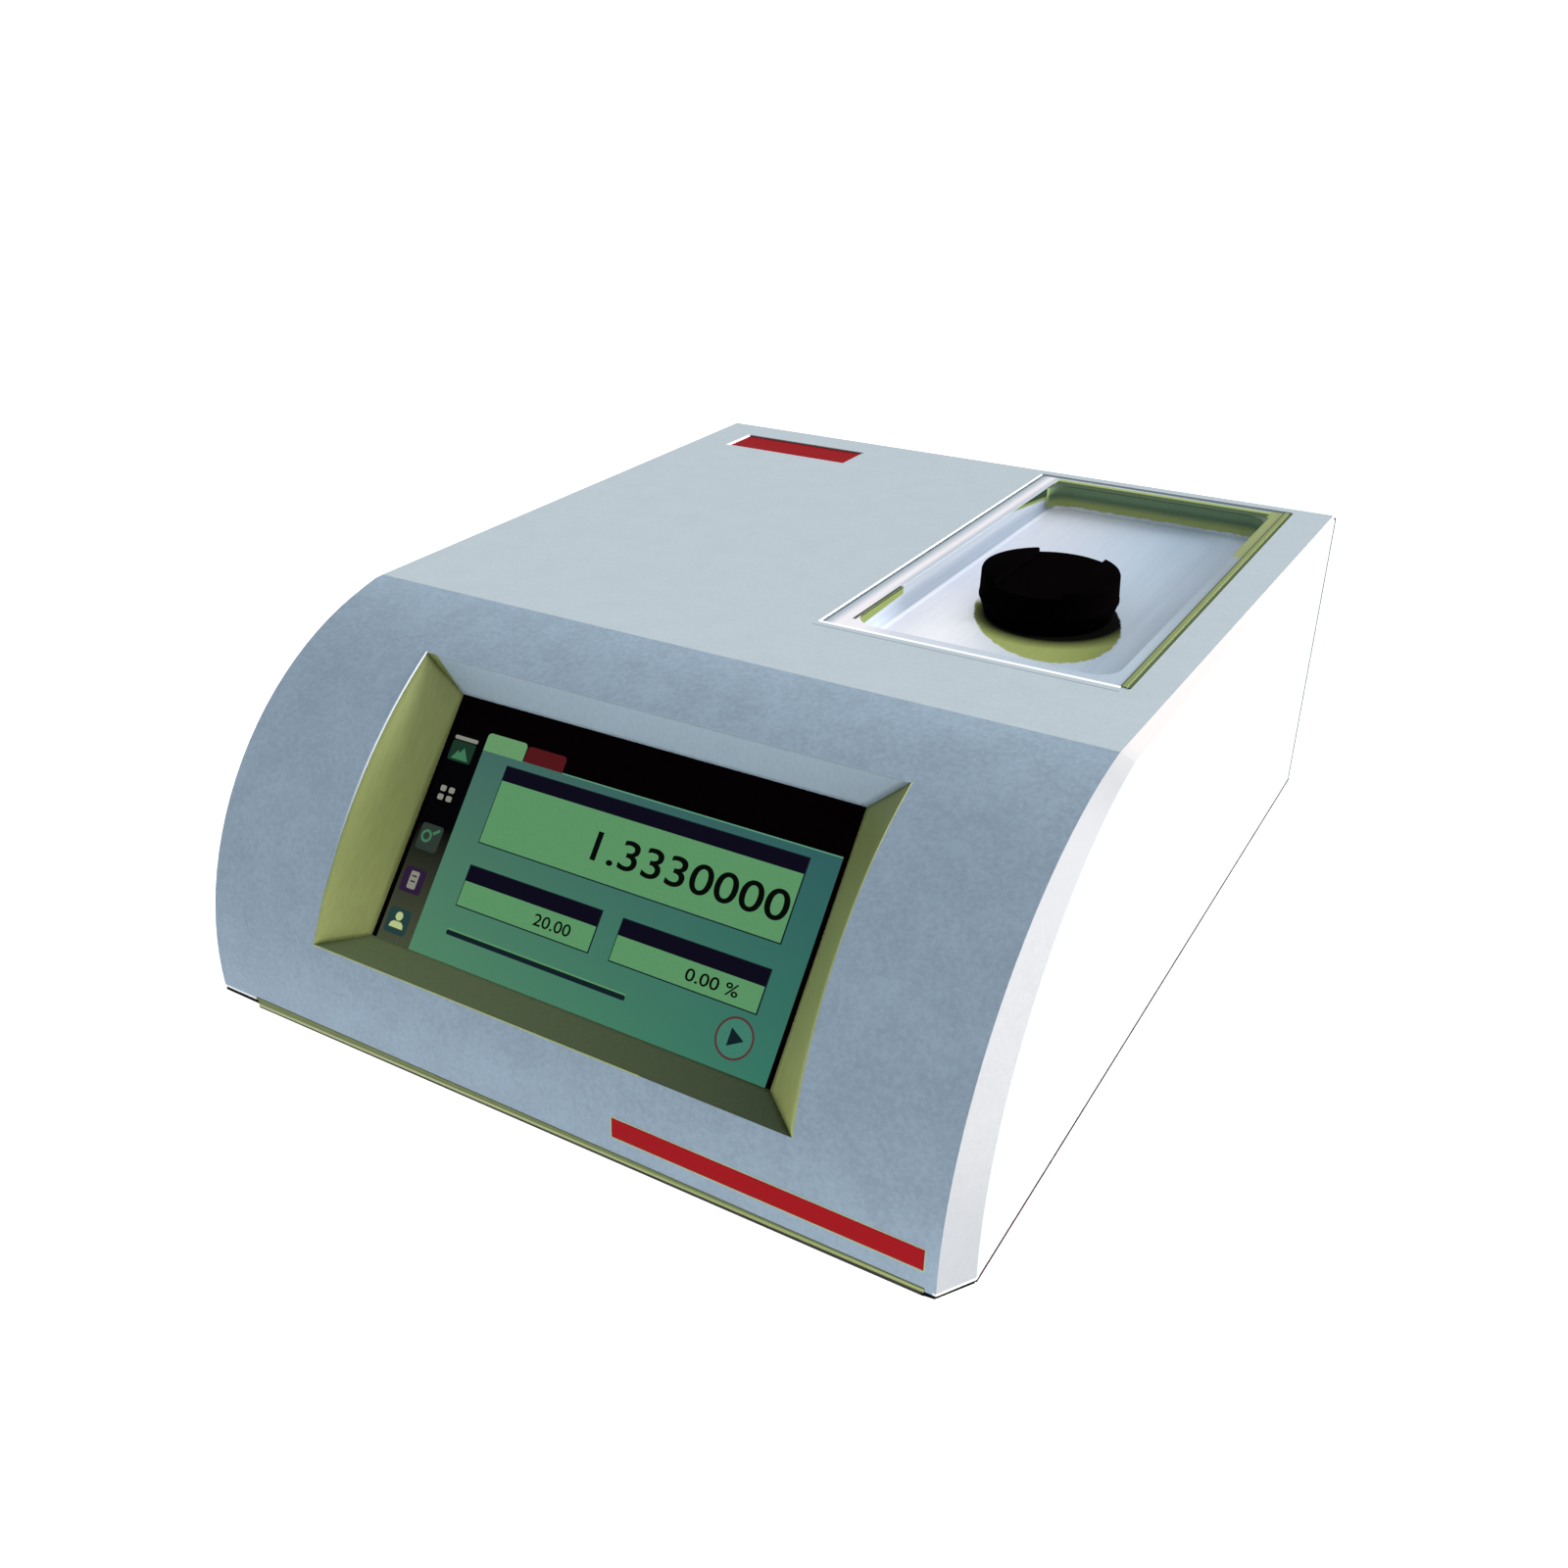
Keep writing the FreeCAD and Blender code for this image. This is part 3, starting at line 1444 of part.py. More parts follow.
def make_power_supply():
    x0, x1, y0, y1 = supply_bounds()
    top_z = base_top + supply_height
    case = box(x0, x1, y0, y1, base_top, top_z)
    cuts = [box(x0 - overrun, x1 + overrun, y0 - overrun, y0 + supply_terminal_depth,
                base_top + base_thickness, top_z + overrun)]
    pitch_x = supply_width / supply_vent_columns
    vented = supply_length - supply_terminal_depth - 2 * supply_vent_margin
    pitch_y = vented / supply_vent_rows
    for column in range(supply_vent_columns):
        for row in range(supply_vent_rows):
            x = x0 + (column + half_share) * pitch_x
            y = y0 + supply_terminal_depth + supply_vent_margin + (row + half_share) * pitch_y
            slot_floor = Vector(x, y, top_z - supply_vent_depth)
            cuts.append(block_at(slot_floor, supply_vent_length, supply_vent_width, overrun))
    for place in supply_screw_places():
        cuts.append(cylinder(small_pilot_bore, place, UP, small_screw_length))
    return case.cut(cuts)


def make_supply_screws():
    return group([small_screw(Vector(place.x, place.y, base_bottom), UP) for place in supply_screw_places()])


def make_terminal_block():
    x0, x1, y0, y1 = supply_bounds()
    z0 = base_top + base_thickness
    half = (terminal_count * terminal_pitch) / 2
    middle = (x0 + x1) / 2
    depth = supply_terminal_depth - terminal_margin
    body = box(middle - half - terminal_wall, middle + half + terminal_wall, y0 + terminal_margin,
               y0 + terminal_margin + depth, z0, z0 + supply_terminal_height)
    cuts = []
    heads = []
    for index in range(terminal_count):
        x = middle + (index - (terminal_count - 1) / 2) * terminal_pitch
        width = terminal_pitch - terminal_wall
        room_z = z0 + supply_terminal_height / 2
        cuts.append(box(x - width / 2, x + width / 2, y0, y0 + depth, room_z,
                        z0 + supply_terminal_height + overrun))
        seat = Vector(x, y0 + terminal_margin + (depth - terminal_wall) / 2, room_z)
        heads.append(cylinder(terminal_head_diameter, seat, UP, terminal_head_height))
    return group([body.cut(cuts)] + heads)


# Tray and measuring well

def make_sample_tray():
    """A pan drawn from sheet: flat rim, rounded corners and a hole for the well."""
    rim = pocket_box(tray_flange_bottom, tray_flange_top, tray_rim_gap)
    outside = pan_box(tray_under, tray_flange_top, tray_sheet)
    outside = outside.makeFillet(tray_bottom_radius + tray_sheet, level_edges(outside, tray_under))
    inside = pan_box(tray_floor, top + overrun, 0)
    inside = inside.makeFillet(tray_bottom_radius, level_edges(inside, tray_floor))
    hole = cylinder(tray_hole_diameter, well_centre(tray_under - overrun), UP, 2 * overrun)
    cuts = [inside, hole]
    for place in ring_screw_places(tray_under - overrun):
        cuts.append(cylinder(ring_screw_diameter + 2 * screw_hole_clearance, place, UP, 2 * overrun))
    return rim.fuse(outside).cut(cuts).removeSplitter()


def make_tray_gasket():
    outer = pocket_box(pocket_floor, tray_flange_bottom, tray_rim_gap)
    inner = pan_box(pocket_floor - overrun, tray_flange_bottom + overrun, tray_sheet + general_clearance)
    return outer.cut(inner)


def ring_screw_places(z):
    start = math.radians(ring_screw_start_angle)
    places = []
    for index in range(ring_screw_count):
        angle = start + 2 * math.pi * index / ring_screw_count
        places.append(Vector(prism_x + ring_screw_circle / 2 * math.cos(angle),
                             prism_y + ring_screw_circle / 2 * math.sin(angle), z))
    return places


def make_prism_ring():
    """The steel well: a low rim on the tray, a dish that falls to the prism's face, a spigot below."""
    rim = well_diameter / 2
    spigot = tray_hole_diameter / 2 - screw_hole_clearance
    mouth = well_mouth_diameter / 2
    floor = well_floor_diameter / 2
    low = -tray_sheet
    profile = [
        (floor, low), (spigot, low), (spigot, 0), (rim, 0),
        (rim, well_height / 2), (rim - well_height / 2, well_height), (mouth, well_height),
        (floor, low + well_bore_length),
    ]
    ring = ring_of(profile, well_centre(tray_floor))
    cuts = []
    for place in ring_screw_places(tray_floor):
        cuts.append(cylinder(ring_screw_diameter + 2 * screw_hole_clearance, place, UP, well_height))
    return ring.cut(cuts)


def make_ring_screws():
    """Their low heads stand on the rim, well under the lid."""
    screws = []
    for place in ring_screw_places(tray_floor + well_height):
        screws.append(pan_screw(ring_screw_diameter, ring_screw_head_diameter, well_height,
                                ring_screw_length, place, DOWN))
    return group(screws)


def seal_room_top():
    return tray_floor - tray_sheet


def make_prism_seal():
    inner = well_floor_diameter / 2
    outer = seal_diameter / 2
    profile = [(inner, -seal_thickness), (outer, -seal_thickness), (outer, 0), (inner, 0)]
    return ring_of(profile, well_centre(seal_room_top()))


def make_measuring_prism():
    """Its face closes the well from below, its slanted ends look along the two barrels."""
    z_top = seal_room_top() - seal_thickness
    x = prism_x - prism_width / 2
    z_low = z_top - prism_height
    points = [
        Vector(x, prism_y - prism_length / 2, z_top), Vector(x, prism_y + prism_length / 2, z_top),
        Vector(x, prism_y + prism_base_length / 2, z_low), Vector(x, prism_y - prism_base_length / 2, z_low),
    ]
    return prism(points, RIGHT * prism_width)


def make_thermostat_block():
    block = block_at(well_centre(block_bottom), block_width, block_length, block_height)
    gap = prism_pocket_clearance
    z_low = seal_room_top() - seal_thickness - prism_height
    pocket = block_at(Vector(prism_x, prism_y, z_low), prism_width + 2 * gap, prism_length + 2 * gap,
                      block_height)
    cuts = [pocket, cylinder(seal_diameter + 2 * gap, well_centre(block_top - seal_thickness), UP, overrun)]
    bore = barrel_diameter + 2 * barrel_bore_clearance
    reach = block_length * 2
    for frame in (LIGHT, CAMERA):
        cuts.append(placed(cylinder(bore, Vector(0, 0, barrel_start), UP, reach), frame))
        # The light passes from the barrel to the prism through a smaller hole
        inner = barrel_diameter - 4 * barrel_wall
        near = prism_base_length
        cuts.append(placed(cylinder(inner, Vector(0, 0, near), UP, reach), frame))
    for place in ring_screw_places(block_top):
        cuts.append(cylinder(ring_screw_diameter + 2 * pilot_hole_clearance, place, DOWN, ring_screw_length))
    probe = sensor_probe_place()
    probe_bore = sensor_probe_diameter + 2 * pilot_hole_clearance
    cuts.append(cylinder(probe_bore, probe, RIGHT, sensor_probe_bore_depth))
    return block.cut(cuts)


def sensor_probe_place():
    return Vector(prism_x - block_width / 2, prism_y, block_bottom + sensor_probe_rise)


def make_temperature_sensor():
    """A steel probe pushed into the side of the block, with a collar against it."""
    start = sensor_probe_place()
    probe = cylinder(sensor_probe_diameter, start, RIGHT, sensor_probe_bore_depth)
    collar_length = sensor_probe_length - sensor_probe_bore_depth
    collar_diameter = sensor_probe_diameter + 2 * sensor_collar_wall
    collar = cylinder(collar_diameter, start - RIGHT * collar_length, RIGHT, collar_length)
    return fused([probe, collar])


def make_thermoelectric_cooler():
    """Two ceramic plates with the pellets between them."""
    plate = cooler_plate_thickness
    low = block_at(well_centre(cooler_bottom), cooler_size, cooler_size, plate)
    high = block_at(well_centre(block_bottom - plate), cooler_size, cooler_size, plate)
    core_size = cooler_size - 2 * cooler_pellet_inset
    core = block_at(well_centre(cooler_bottom + plate), core_size, core_size, cooler_thickness - 2 * plate)
    return fused([low, core, high])


def sink_post_places():
    x = sink_width / 2 - sink_post_edge_margin - sink_post_diameter / 2
    y = sink_length / 2 - sink_post_inset_y
    return [Vector(prism_x + sx * x, prism_y + sy * y, base_top) for sx in (-1, 1) for sy in (-1, 1)]


def make_heat_sink():
    base = block_at(well_centre(sink_base_bottom), sink_width, sink_length, sink_base_thickness)
    fins = []
    pitch = (sink_fin_span - sink_fin_thickness) / (sink_fin_count - 1)
    fin_bottom = sink_base_bottom - sink_fin_height
    for index in range(sink_fin_count):
        x = prism_x - sink_fin_span / 2 + index * pitch
        fins.append(box(x, x + sink_fin_thickness, prism_y - sink_length / 2, prism_y + sink_length / 2,
                        fin_bottom, sink_base_bottom))
    cuts = []
    for place in sink_post_places():
        start = Vector(place.x, place.y, sink_base_bottom)
        cuts.append(cylinder(small_clear_bore, start, UP, sink_base_thickness))
    return fused([base] + fins).cut(cuts)


def make_heat_sink_posts():
    length = sink_base_bottom - base_top
    posts = []
    for place in sink_post_places():
        post = cylinder(sink_post_diameter, place, UP, length)
        ends = [cylinder(small_pilot_bore, place, UP, small_screw_length),
                cylinder(small_pilot_bore, place + UP * length, DOWN,
                         small_screw_length)]
        posts.append(post.cut(ends))
    return group(posts)


def make_heat_sink_screws():
    screws = []
    for place in sink_post_places():
        screws.append(pan_screw(small_screw_diameter, small_screw_head_diameter, small_screw_head_height,
                                small_screw_length, Vector(place.x, place.y, base_bottom), UP))
        screws.append(pan_screw(small_screw_diameter, small_screw_head_diameter, small_screw_head_height,
                                sink_base_thickness + small_screw_length / 2,
                                Vector(place.x, place.y, sink_base_bottom + sink_base_thickness), DOWN))
    return group(screws)


# Fan

def fan_screw_places():
    half = fan_screw_pitch / 2
    return [Vector(prism_x + sx * half, prism_y + sy * half, base_top) for sx in (-1, 1) for sy in (-1, 1)]


def make_fan_frame():
    centre = well_centre(base_top)
    half = fan_size / 2
    frame = rounded_box(centre.x - half, centre.x + half, centre.y - half, centre.y + half,
                        base_top, fan_top, fan_corner_radius)
    frame = frame.cut(cylinder(fan_duct_diameter, centre, UP, fan_thickness))
    hub = cylinder(fan_hub_diameter, centre, UP, fan_plate_thickness)
    strut_end = (half + fan_duct_diameter / 2) / 2
    strut = box(centre.x, centre.x + strut_end, centre.y - fan_strut_width / 2,
                centre.y + fan_strut_width / 2, base_top, base_top + fan_plate_thickness)
    boss = cylinder(fan_axle_diameter + 2 * fan_cup_wall, centre, UP, fan_thickness / 2)
    whole = fused([frame, hub, boss] + around(strut, centre, fan_strut_count))
    cuts = [cylinder(fan_axle_diameter + 2 * fan_axle_clearance, centre + UP * (fan_plate_thickness / 2), UP,
                     fan_thickness)]
    for place in fan_screw_places():
        cuts.append(cylinder(small_pilot_bore, place, UP, fan_thickness))
    return whole.cut(cuts)


def make_fan_rotor():
    """A cup over the motor boss with its axle inside, and leaning blades outside."""
    low = base_top + fan_plate_thickness + fan_hub_clearance
    high = fan_top - fan_hub_clearance
    centre = well_centre(low)
    cup = cylinder(fan_hub_diameter, centre, UP, high - low)
    room = cylinder(fan_hub_diameter - 2 * fan_cup_wall, centre, UP, high - low - fan_cup_wall)
    axle_top = high - fan_cup_wall / 2
    axle = cylinder(fan_axle_diameter, well_centre(axle_top), DOWN, fan_axle_length)
    blade_low = low + fan_blade_inset
    blade_high = high - fan_blade_inset
    tip = fan_duct_diameter / 2 - fan_tip_clearance
    inner = fan_hub_diameter / 2 - fan_cup_wall / 2
    height = blade_high - blade_low
    shift = math.tan(math.radians(fan_blade_lean)) * height
    half = fan_blade_thickness / 2

    def blade_section(x):
        return Part.makePolygon([
            Vector(x, -shift / 2 - half, blade_low), Vector(x, -shift / 2 + half, blade_low),
            Vector(x, shift / 2 + half, blade_high), Vector(x, shift / 2 - half, blade_high),
            Vector(x, -shift / 2 - half, blade_low),
        ])

    blade = Part.makeLoft([blade_section(inner), blade_section(tip + fan_tip_clearance)], True, True)
    blade = blade.common(cylinder(2 * tip, Vector(0, 0, 0), UP, long_reach))
    blade.translate(Vector(prism_x, prism_y, 0))
    return fused([cup.cut(room), axle] + around(blade, centre, fan_blade_count))


def make_fan_screws():
    return group([small_screw(Vector(place.x, place.y, base_bottom), UP) for place in fan_screw_places()])


# Optics

def barrel(frame, end):
    """A tube with a collar at its outer end."""
    length = end - barrel_start
    tube = cylinder(barrel_diameter, Vector(0, 0, barrel_start), UP, length)
    collar = cylinder(barrel_collar_diameter, Vector(0, 0, end), DOWN, barrel_collar_length)
    bore = cylinder(barrel_diameter - 2 * barrel_wall, Vector(0, 0, barrel_start), UP, length)
    return placed(fused([tube, collar]).cut(bore), frame)


def make_light_barrel():
    return barrel(LIGHT, light_barrel_end)


def make_camera_barrel():
    return barrel(CAMERA, camera_barrel_end)


def lens(frame, place):
    """A biconvex lens: an edge ring with a cap of a sphere on each side."""
    radius = lens_diameter / 2
    ball = (radius ** 2 + lens_bulge ** 2) / (2 * lens_bulge)
    half_edge = lens_edge / 2
    edge_disc = cylinder(lens_diameter, Vector(0, 0, place - half_edge - lens_bulge), UP,
                         lens_edge + 2 * lens_bulge)
    upper = Part.makeSphere(ball, Vector(0, 0, place + half_edge + lens_bulge - ball))
    lower = Part.makeSphere(ball, Vector(0, 0, place - half_edge - lens_bulge + ball))
    return placed(edge_disc.common(upper).common(lower), frame)


def make_condenser_lens():
    return lens(LIGHT, condenser_place)


def make_imaging_lens():
    return lens(CAMERA, imaging_place)


def make_interference_filter():
    disc = cylinder(lens_diameter, Vector(0, 0, filter_place), UP, filter_thickness)
    return placed(disc, LIGHT)


def make_lamp_board():
    return placed(cylinder(lamp_board_diameter, Vector(0, 0, light_barrel_end), UP, board_thickness), LIGHT)


def make_lamp():
    straight = lamp_length - lamp_diameter / 2
    start = Vector(0, 0, light_barrel_end - straight)
    body = cylinder(lamp_diameter, start, UP, straight)
    dome = Part.makeSphere(lamp_diameter / 2, start)
    return placed(fused([body, dome]), LIGHT)


def make_lamp_heat_sink():
    z0 = light_barrel_end + board_thickness
    base = cylinder(lamp_sink_diameter, Vector(0, 0, z0), UP, lamp_sink_base)
    fins = []
    pitch = (lamp_sink_diameter - 2 * lamp_sink_fin_thickness) / lamp_sink_fins
    for index in range(lamp_sink_fins):
        x = (index - (lamp_sink_fins - 1) / 2) * pitch
        fin = box(x - lamp_sink_fin_thickness / 2, x + lamp_sink_fin_thickness / 2, -lamp_sink_diameter / 2,
                  lamp_sink_diameter / 2, z0 + lamp_sink_base, z0 + lamp_sink_base + lamp_sink_fin_height)
        fins.append(fin.common(cylinder(lamp_sink_diameter, Vector(0, 0, z0), UP, long_reach)))
    return placed(fused([base] + fins), LIGHT)


def make_sensor_board():
    seat = Vector(0, 0, camera_barrel_end)
    return placed(block_at(seat, sensor_board_size, sensor_board_size, board_thickness), CAMERA)


def make_line_sensor():
    seat = Vector(0, 0, camera_barrel_end - line_sensor_thickness)
    return placed(block_at(seat, line_sensor_width, line_sensor_length, line_sensor_thickness), CAMERA)


# Lid

def make_lid_cap():
    """A cap with an upper band, a narrower foot and a finger channel across its top."""
    outer = lid_diameter / 2
    lower = outer - lid_lower_step
    toe = lower - lid_toe_inset
    step = lid_height * (1 - lid_band_share)
    cavity = lid_cavity_diameter / 2
    gap = lid_rest_gap
    profile = [
        (0, lid_cavity_height), (cavity, lid_cavity_height), (cavity, gap), (toe, gap),
        (lower, lid_toe_height), (lower, step), (outer, step + lid_lower_step),
        (outer, lid_height - lid_edge_round), (outer - lid_edge_round, lid_height), (0, lid_height),
    ]
    cap = ring_of(profile, well_centre(tray_floor))
    channel_floor = well_centre(tray_floor + lid_height - lid_channel_depth)
    channel = block_at(channel_floor, lid_channel_width, lid_diameter + 2 * overrun, lid_height)
    channel.rotate(well_centre(tray_floor), UP, -lid_channel_turn)
    return cap.cut([channel, lid_seal_ring(lid_rest_gap)])


def lid_seal_ring(low):
    """A ring let into the foot of the cap from inside, from the height given up to its seat."""
    inner = lid_cavity_diameter / 2 - lid_seal_width / 2
    outer = lid_cavity_diameter / 2 + lid_seal_width / 2
    high = lid_seal_height + lid_rest_gap
    return ring_of([(inner, low), (outer, low), (outer, high), (inner, high)], well_centre(tray_floor))


def make_lid_seal():
    return lid_seal_ring(lid_rest_gap - lid_seal_proud)


# Bare plates

def make_top_plate():
    return top_plate_box(top - top_plate_sink - top_plate_thickness, top - top_plate_sink, 0)


def make_front_strip():
    return strip_sector(front_radius, front_radius - strip_thickness, 0)


NODES = {
    "upper_housing": make_upper_housing,
    "base_plate": make_base_plate,
    "rear_panel": make_rear_panel,
    "rubber_feet": make_rubber_feet,
    "foot_screws": make_foot_screws,
    "housing_screws": make_housing_screws,
    "rear_panel_screws": make_rear_panel_screws,
    "touch_glass": make_touch_glass,
    "display_module": make_display_module,
    "display_bracket": make_display_bracket,
    "bracket_screws": make_bracket_screws,
    "display_board": make_display_board,
    "display_board_parts": make_display_board_parts,
    "top_plate": make_top_plate,
    "front_strip": make_front_strip,
    "sample_tray": make_sample_tray,
    "tray_gasket": make_tray_gasket,
    "prism_ring": make_prism_ring,
    "ring_screws": make_ring_screws,
    "prism_seal": make_prism_seal,
    "measuring_prism": make_measuring_prism,
    "thermostat_block": make_thermostat_block,
    "temperature_sensor": make_temperature_sensor,
    "thermoelectric_cooler": make_thermoelectric_cooler,
    "heat_sink": make_heat_sink,
    "heat_sink_posts": make_heat_sink_posts,
    "heat_sink_screws": make_heat_sink_screws,
    "fan_frame": make_fan_frame,
    "fan_rotor": make_fan_rotor,
    "fan_screws": make_fan_screws,
    "light_barrel": make_light_barrel,
    "condenser_lens": make_condenser_lens,
    "interference_filter": make_interference_filter,
    "lamp": make_lamp,
    "lamp_board": make_lamp_board,
    "lamp_heat_sink": make_lamp_heat_sink,
    "camera_barrel": make_camera_barrel,
    "imaging_lens": make_imaging_lens,
    "line_sensor": make_line_sensor,
    "sensor_board": make_sensor_board,
    "main_board": make_main_board,
    "board_components": make_board_components,
    "board_standoffs": make_board_standoffs,
    "board_screws": make_board_screws,
    "power_supply": make_power_supply,
    "supply_screws": make_supply_screws,
    "terminal_block": make_terminal_block,
    "power_inlet": make_power_inlet,
    "inlet_pins": make_inlet_pins,
    "inlet_screws": make_inlet_screws,
    "fuse_drawer": make_fuse_drawer,
    "fuse": make_fuse,
    "power_rocker": make_power_rocker,
    "serial_socket": make_serial_socket,
    "serial_screw_locks": make_serial_screw_locks,
    "usb_sockets": make_usb_sockets,
    "network_socket": make_network_socket,
    "lid_cap": make_lid_cap,
    "lid_seal": make_lid_seal,
}

os.makedirs("parts", exist_ok=True)
for name, make in NODES.items():
    shape = make()
    state = "valid" if shape.isValid() else "NOT VALID"
    print(name, len(shape.Solids), "solids", state, round(shape.Volume))
    shape.exportStep(os.path.join("parts", name + ".step"))
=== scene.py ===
import json
import math

import bmesh
import bpy
from mathutils import Matrix, Vector


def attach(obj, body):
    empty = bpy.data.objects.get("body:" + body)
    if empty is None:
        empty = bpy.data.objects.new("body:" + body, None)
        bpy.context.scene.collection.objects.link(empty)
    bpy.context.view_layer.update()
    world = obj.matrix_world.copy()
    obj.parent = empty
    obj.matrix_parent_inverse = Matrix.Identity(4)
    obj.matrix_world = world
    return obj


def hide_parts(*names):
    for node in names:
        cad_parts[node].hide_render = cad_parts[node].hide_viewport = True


# Looks for the bench refractometer. Metres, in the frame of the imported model.

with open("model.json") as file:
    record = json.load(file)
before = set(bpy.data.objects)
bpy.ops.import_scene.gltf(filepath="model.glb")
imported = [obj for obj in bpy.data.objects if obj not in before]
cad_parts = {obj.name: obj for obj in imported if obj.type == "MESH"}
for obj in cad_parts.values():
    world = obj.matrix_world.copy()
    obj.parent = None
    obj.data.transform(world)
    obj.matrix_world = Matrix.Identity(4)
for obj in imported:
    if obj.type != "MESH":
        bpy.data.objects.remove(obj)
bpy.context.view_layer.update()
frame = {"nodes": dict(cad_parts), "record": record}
MM = 0.001
BODY = "instrument"


# Small node graph tools

class Graph:
    """A material's node tree with short calls for the nodes used here."""

    def __init__(self, name):
        self.material = bpy.data.materials.new(name)
        self.material.use_nodes = True
        self.nodes = self.material.node_tree.nodes
        self.links = self.material.node_tree.links
        self.shader = self.nodes["Principled BSDF"]
        self.place = self.add("ShaderNodeTexCoord").outputs["Object"]

    def add(self, kind, **settings):
        node = self.nodes.new(kind)
        for key, value in settings.items():
            setattr(node, key, value)
        return node

    def plug(self, socket, value):
        if isinstance(value, bpy.types.NodeSocket):
            self.links.new(value, socket)
        else:
            socket.default_value = value

    def math(self, operation, first, second=0.0):
        node = self.add("ShaderNodeMath", operation=operation)
        self.plug(node.inputs[0], first)
        self.plug(node.inputs[1], second)
        return node.outputs[0]

    def plus(self, first, second):
        return self.math("ADD", first, second)

    def minus(self, first, second):
        return self.math("SUBTRACT", first, second)

    def times(self, first, second):
        return self.math("MULTIPLY", first, second)

    def squared(self, value):
        return self.math("POWER", self.math("ABSOLUTE", value), 2.0)

    def stretched(self, factors):
        node = self.add("ShaderNodeMapping")
        self.plug(node.inputs["Vector"], self.place)
        node.inputs["Scale"].default_value = factors
        return node.outputs["Vector"]

    def noise(self, scale, detail=3.0, roughness=0.55, vector=None):
        node = self.add("ShaderNodeTexNoise")
        self.plug(node.inputs["Vector"], vector or self.place)
        node.inputs["Scale"].default_value = scale
        node.inputs["Detail"].default_value = detail
        node.inputs["Roughness"].default_value = roughness
        return node.outputs["Fac"]

    def spread(self, value, low, high, start=0.3, end=0.7):
        node = self.add("ShaderNodeMapRange")
        self.plug(node.inputs["Value"], value)
        node.inputs["From Min"].default_value = start
        node.inputs["From Max"].default_value = end
        node.inputs["To Min"].default_value = low
        node.inputs["To Max"].default_value = high
        return node.outputs["Result"]

    def blend(self, factor, first, second):
        node = self.add("ShaderNodeMix", data_type="RGBA")
        self.plug(node.inputs["Factor"], factor)
        self.plug(node.inputs["A"], rgba(first))
        self.plug(node.inputs["B"], rgba(second))
        return node.outputs["Result"]

    def bump(self, height, strength, distance):
        node = self.add("ShaderNodeBump")
        node.inputs["Strength"].default_value = strength
        node.inputs["Distance"].default_value = distance
        self.plug(node.inputs["Height"], height)
        self.plug(self.shader.inputs["Normal"], node.outputs["Normal"])

    def both(self, first, *others):
        """The product of masks: 1 only where all are 1."""
        for other in others:
            first = self.times(first, other)
        return first

    def between(self, value, low, high, ease):
        """1 between two values, eased inside both of them."""
        return self.both(self.spread(value, 0.0, 1.0, low, low + ease),
                         self.spread(value, 1.0, 0.0, high - ease, high))

    def band(self, value, low, high, ease):
        """The same between two places in mm."""
        return self.between(value, low * MM, high * MM, ease * MM)

    def rise(self, value, low, high):
        """0 up to the first place and 1 from the second one on, both in mm."""
        return self.spread(value, 0.0, 1.0, low * MM, high * MM)

    def fall(self, value, low, high):
        """1 up to the first place and 0 from the second one on, both in mm."""
        return self.spread(value, 1.0, 0.0, low * MM, high * MM)

    def axes(self):
        node = self.add("ShaderNodeSeparateXYZ")
        self.plug(node.inputs[0], self.place)
        return node.outputs[0], node.outputs[1], node.outputs[2]

    def set(self, name, value):
        self.plug(self.shader.inputs[name], value)


def rgba(colour):
    if isinstance(colour, bpy.types.NodeSocket) or len(colour) == 4:
        return colour
    return (*colour, 1.0)


def shade(colour, share):
    return tuple(min(1.0, channel * share) for channel in colour)


def srgb(red, green, blue):
    """Linear colour from the 0 to 255 values that a screen shows."""
    def linear(value):
        value /= 255.0
        return value / 12.92 if value <= 0.04045 else ((value + 0.055) / 1.055) ** 2.4
    return linear(red), linear(green), linear(blue)


def finish(name, colour, roughness, metallic=0.0, tone=0.06, patch=60.0, grain=900.0, bump=0.12,
           depth=0.00004, stretch=None, specular=0.5):
    """Paint, plastic, rubber or metal: broad and fine changes of tone and gloss, and a fine relief."""
    g = Graph(name)
    where = g.stretched(stretch) if stretch else None
    broad = g.noise(patch, 4.0)
    fine = g.noise(grain, 3.0, 0.6, where)
    mixed = g.plus(g.times(broad, 0.6), g.times(fine, 0.4))
    g.set("Base Color", g.blend(g.spread(mixed, 0.0, 1.0), shade(colour, 1 - tone), shade(colour, 1 + tone)))
    g.set("Roughness", g.spread(mixed, roughness * 0.86, min(1.0, roughness * 1.14)))
    g.set("Metallic", metallic)
    g.set("Specular IOR Level", specular)
    g.bump(fine, bump, depth)
    return g


def clear_glass(name, colour, roughness, share):
    """Polished glass seen by its gloss, with a faint haze of wiping marks."""
    g = Graph(name)
    haze = g.noise(35.0, 5.0, 0.65)
    g.set("Base Color", g.blend(g.spread(haze, 0.0, 1.0), shade(colour, 0.92), colour))
    g.set("Roughness", g.spread(haze, roughness * 0.6, roughness * 1.6))
    g.set("Transmission Weight", share)
    g.set("IOR", 1.5)
    g.bump(g.noise(500.0, 2.0), 0.02, 0.00001)
    return g


# Finishes by the record's slots

PALE_PAINT = (0.388, 0.452, 0.492)
# The curved front's colour: the pale paint in painted shade
FRONT_SHADED_PAINT = (0.262, 0.345, 0.428)
# A painted highlight's colour, for lines on edges
EDGE_HIGHLIGHT = (0.86, 0.87, 0.88)
# Painted light: the white where the side light falls on the chamfer
SIDE_LIT_WHITE = (0.52, 0.50, 0.50)
# Painted shade for the gap at the rear edges
GAP_SHADE_BLACK = (0.014, 0.007, 0.008)
OLIVE = srgb(136, 150, 88)

# Places on the housing, in mm: its crease, and how far sideways (as a share) its corner chamfers face
CREASE_Y = -73.42
CHAMFER_FACING = (0.40, 0.97, 0.06)


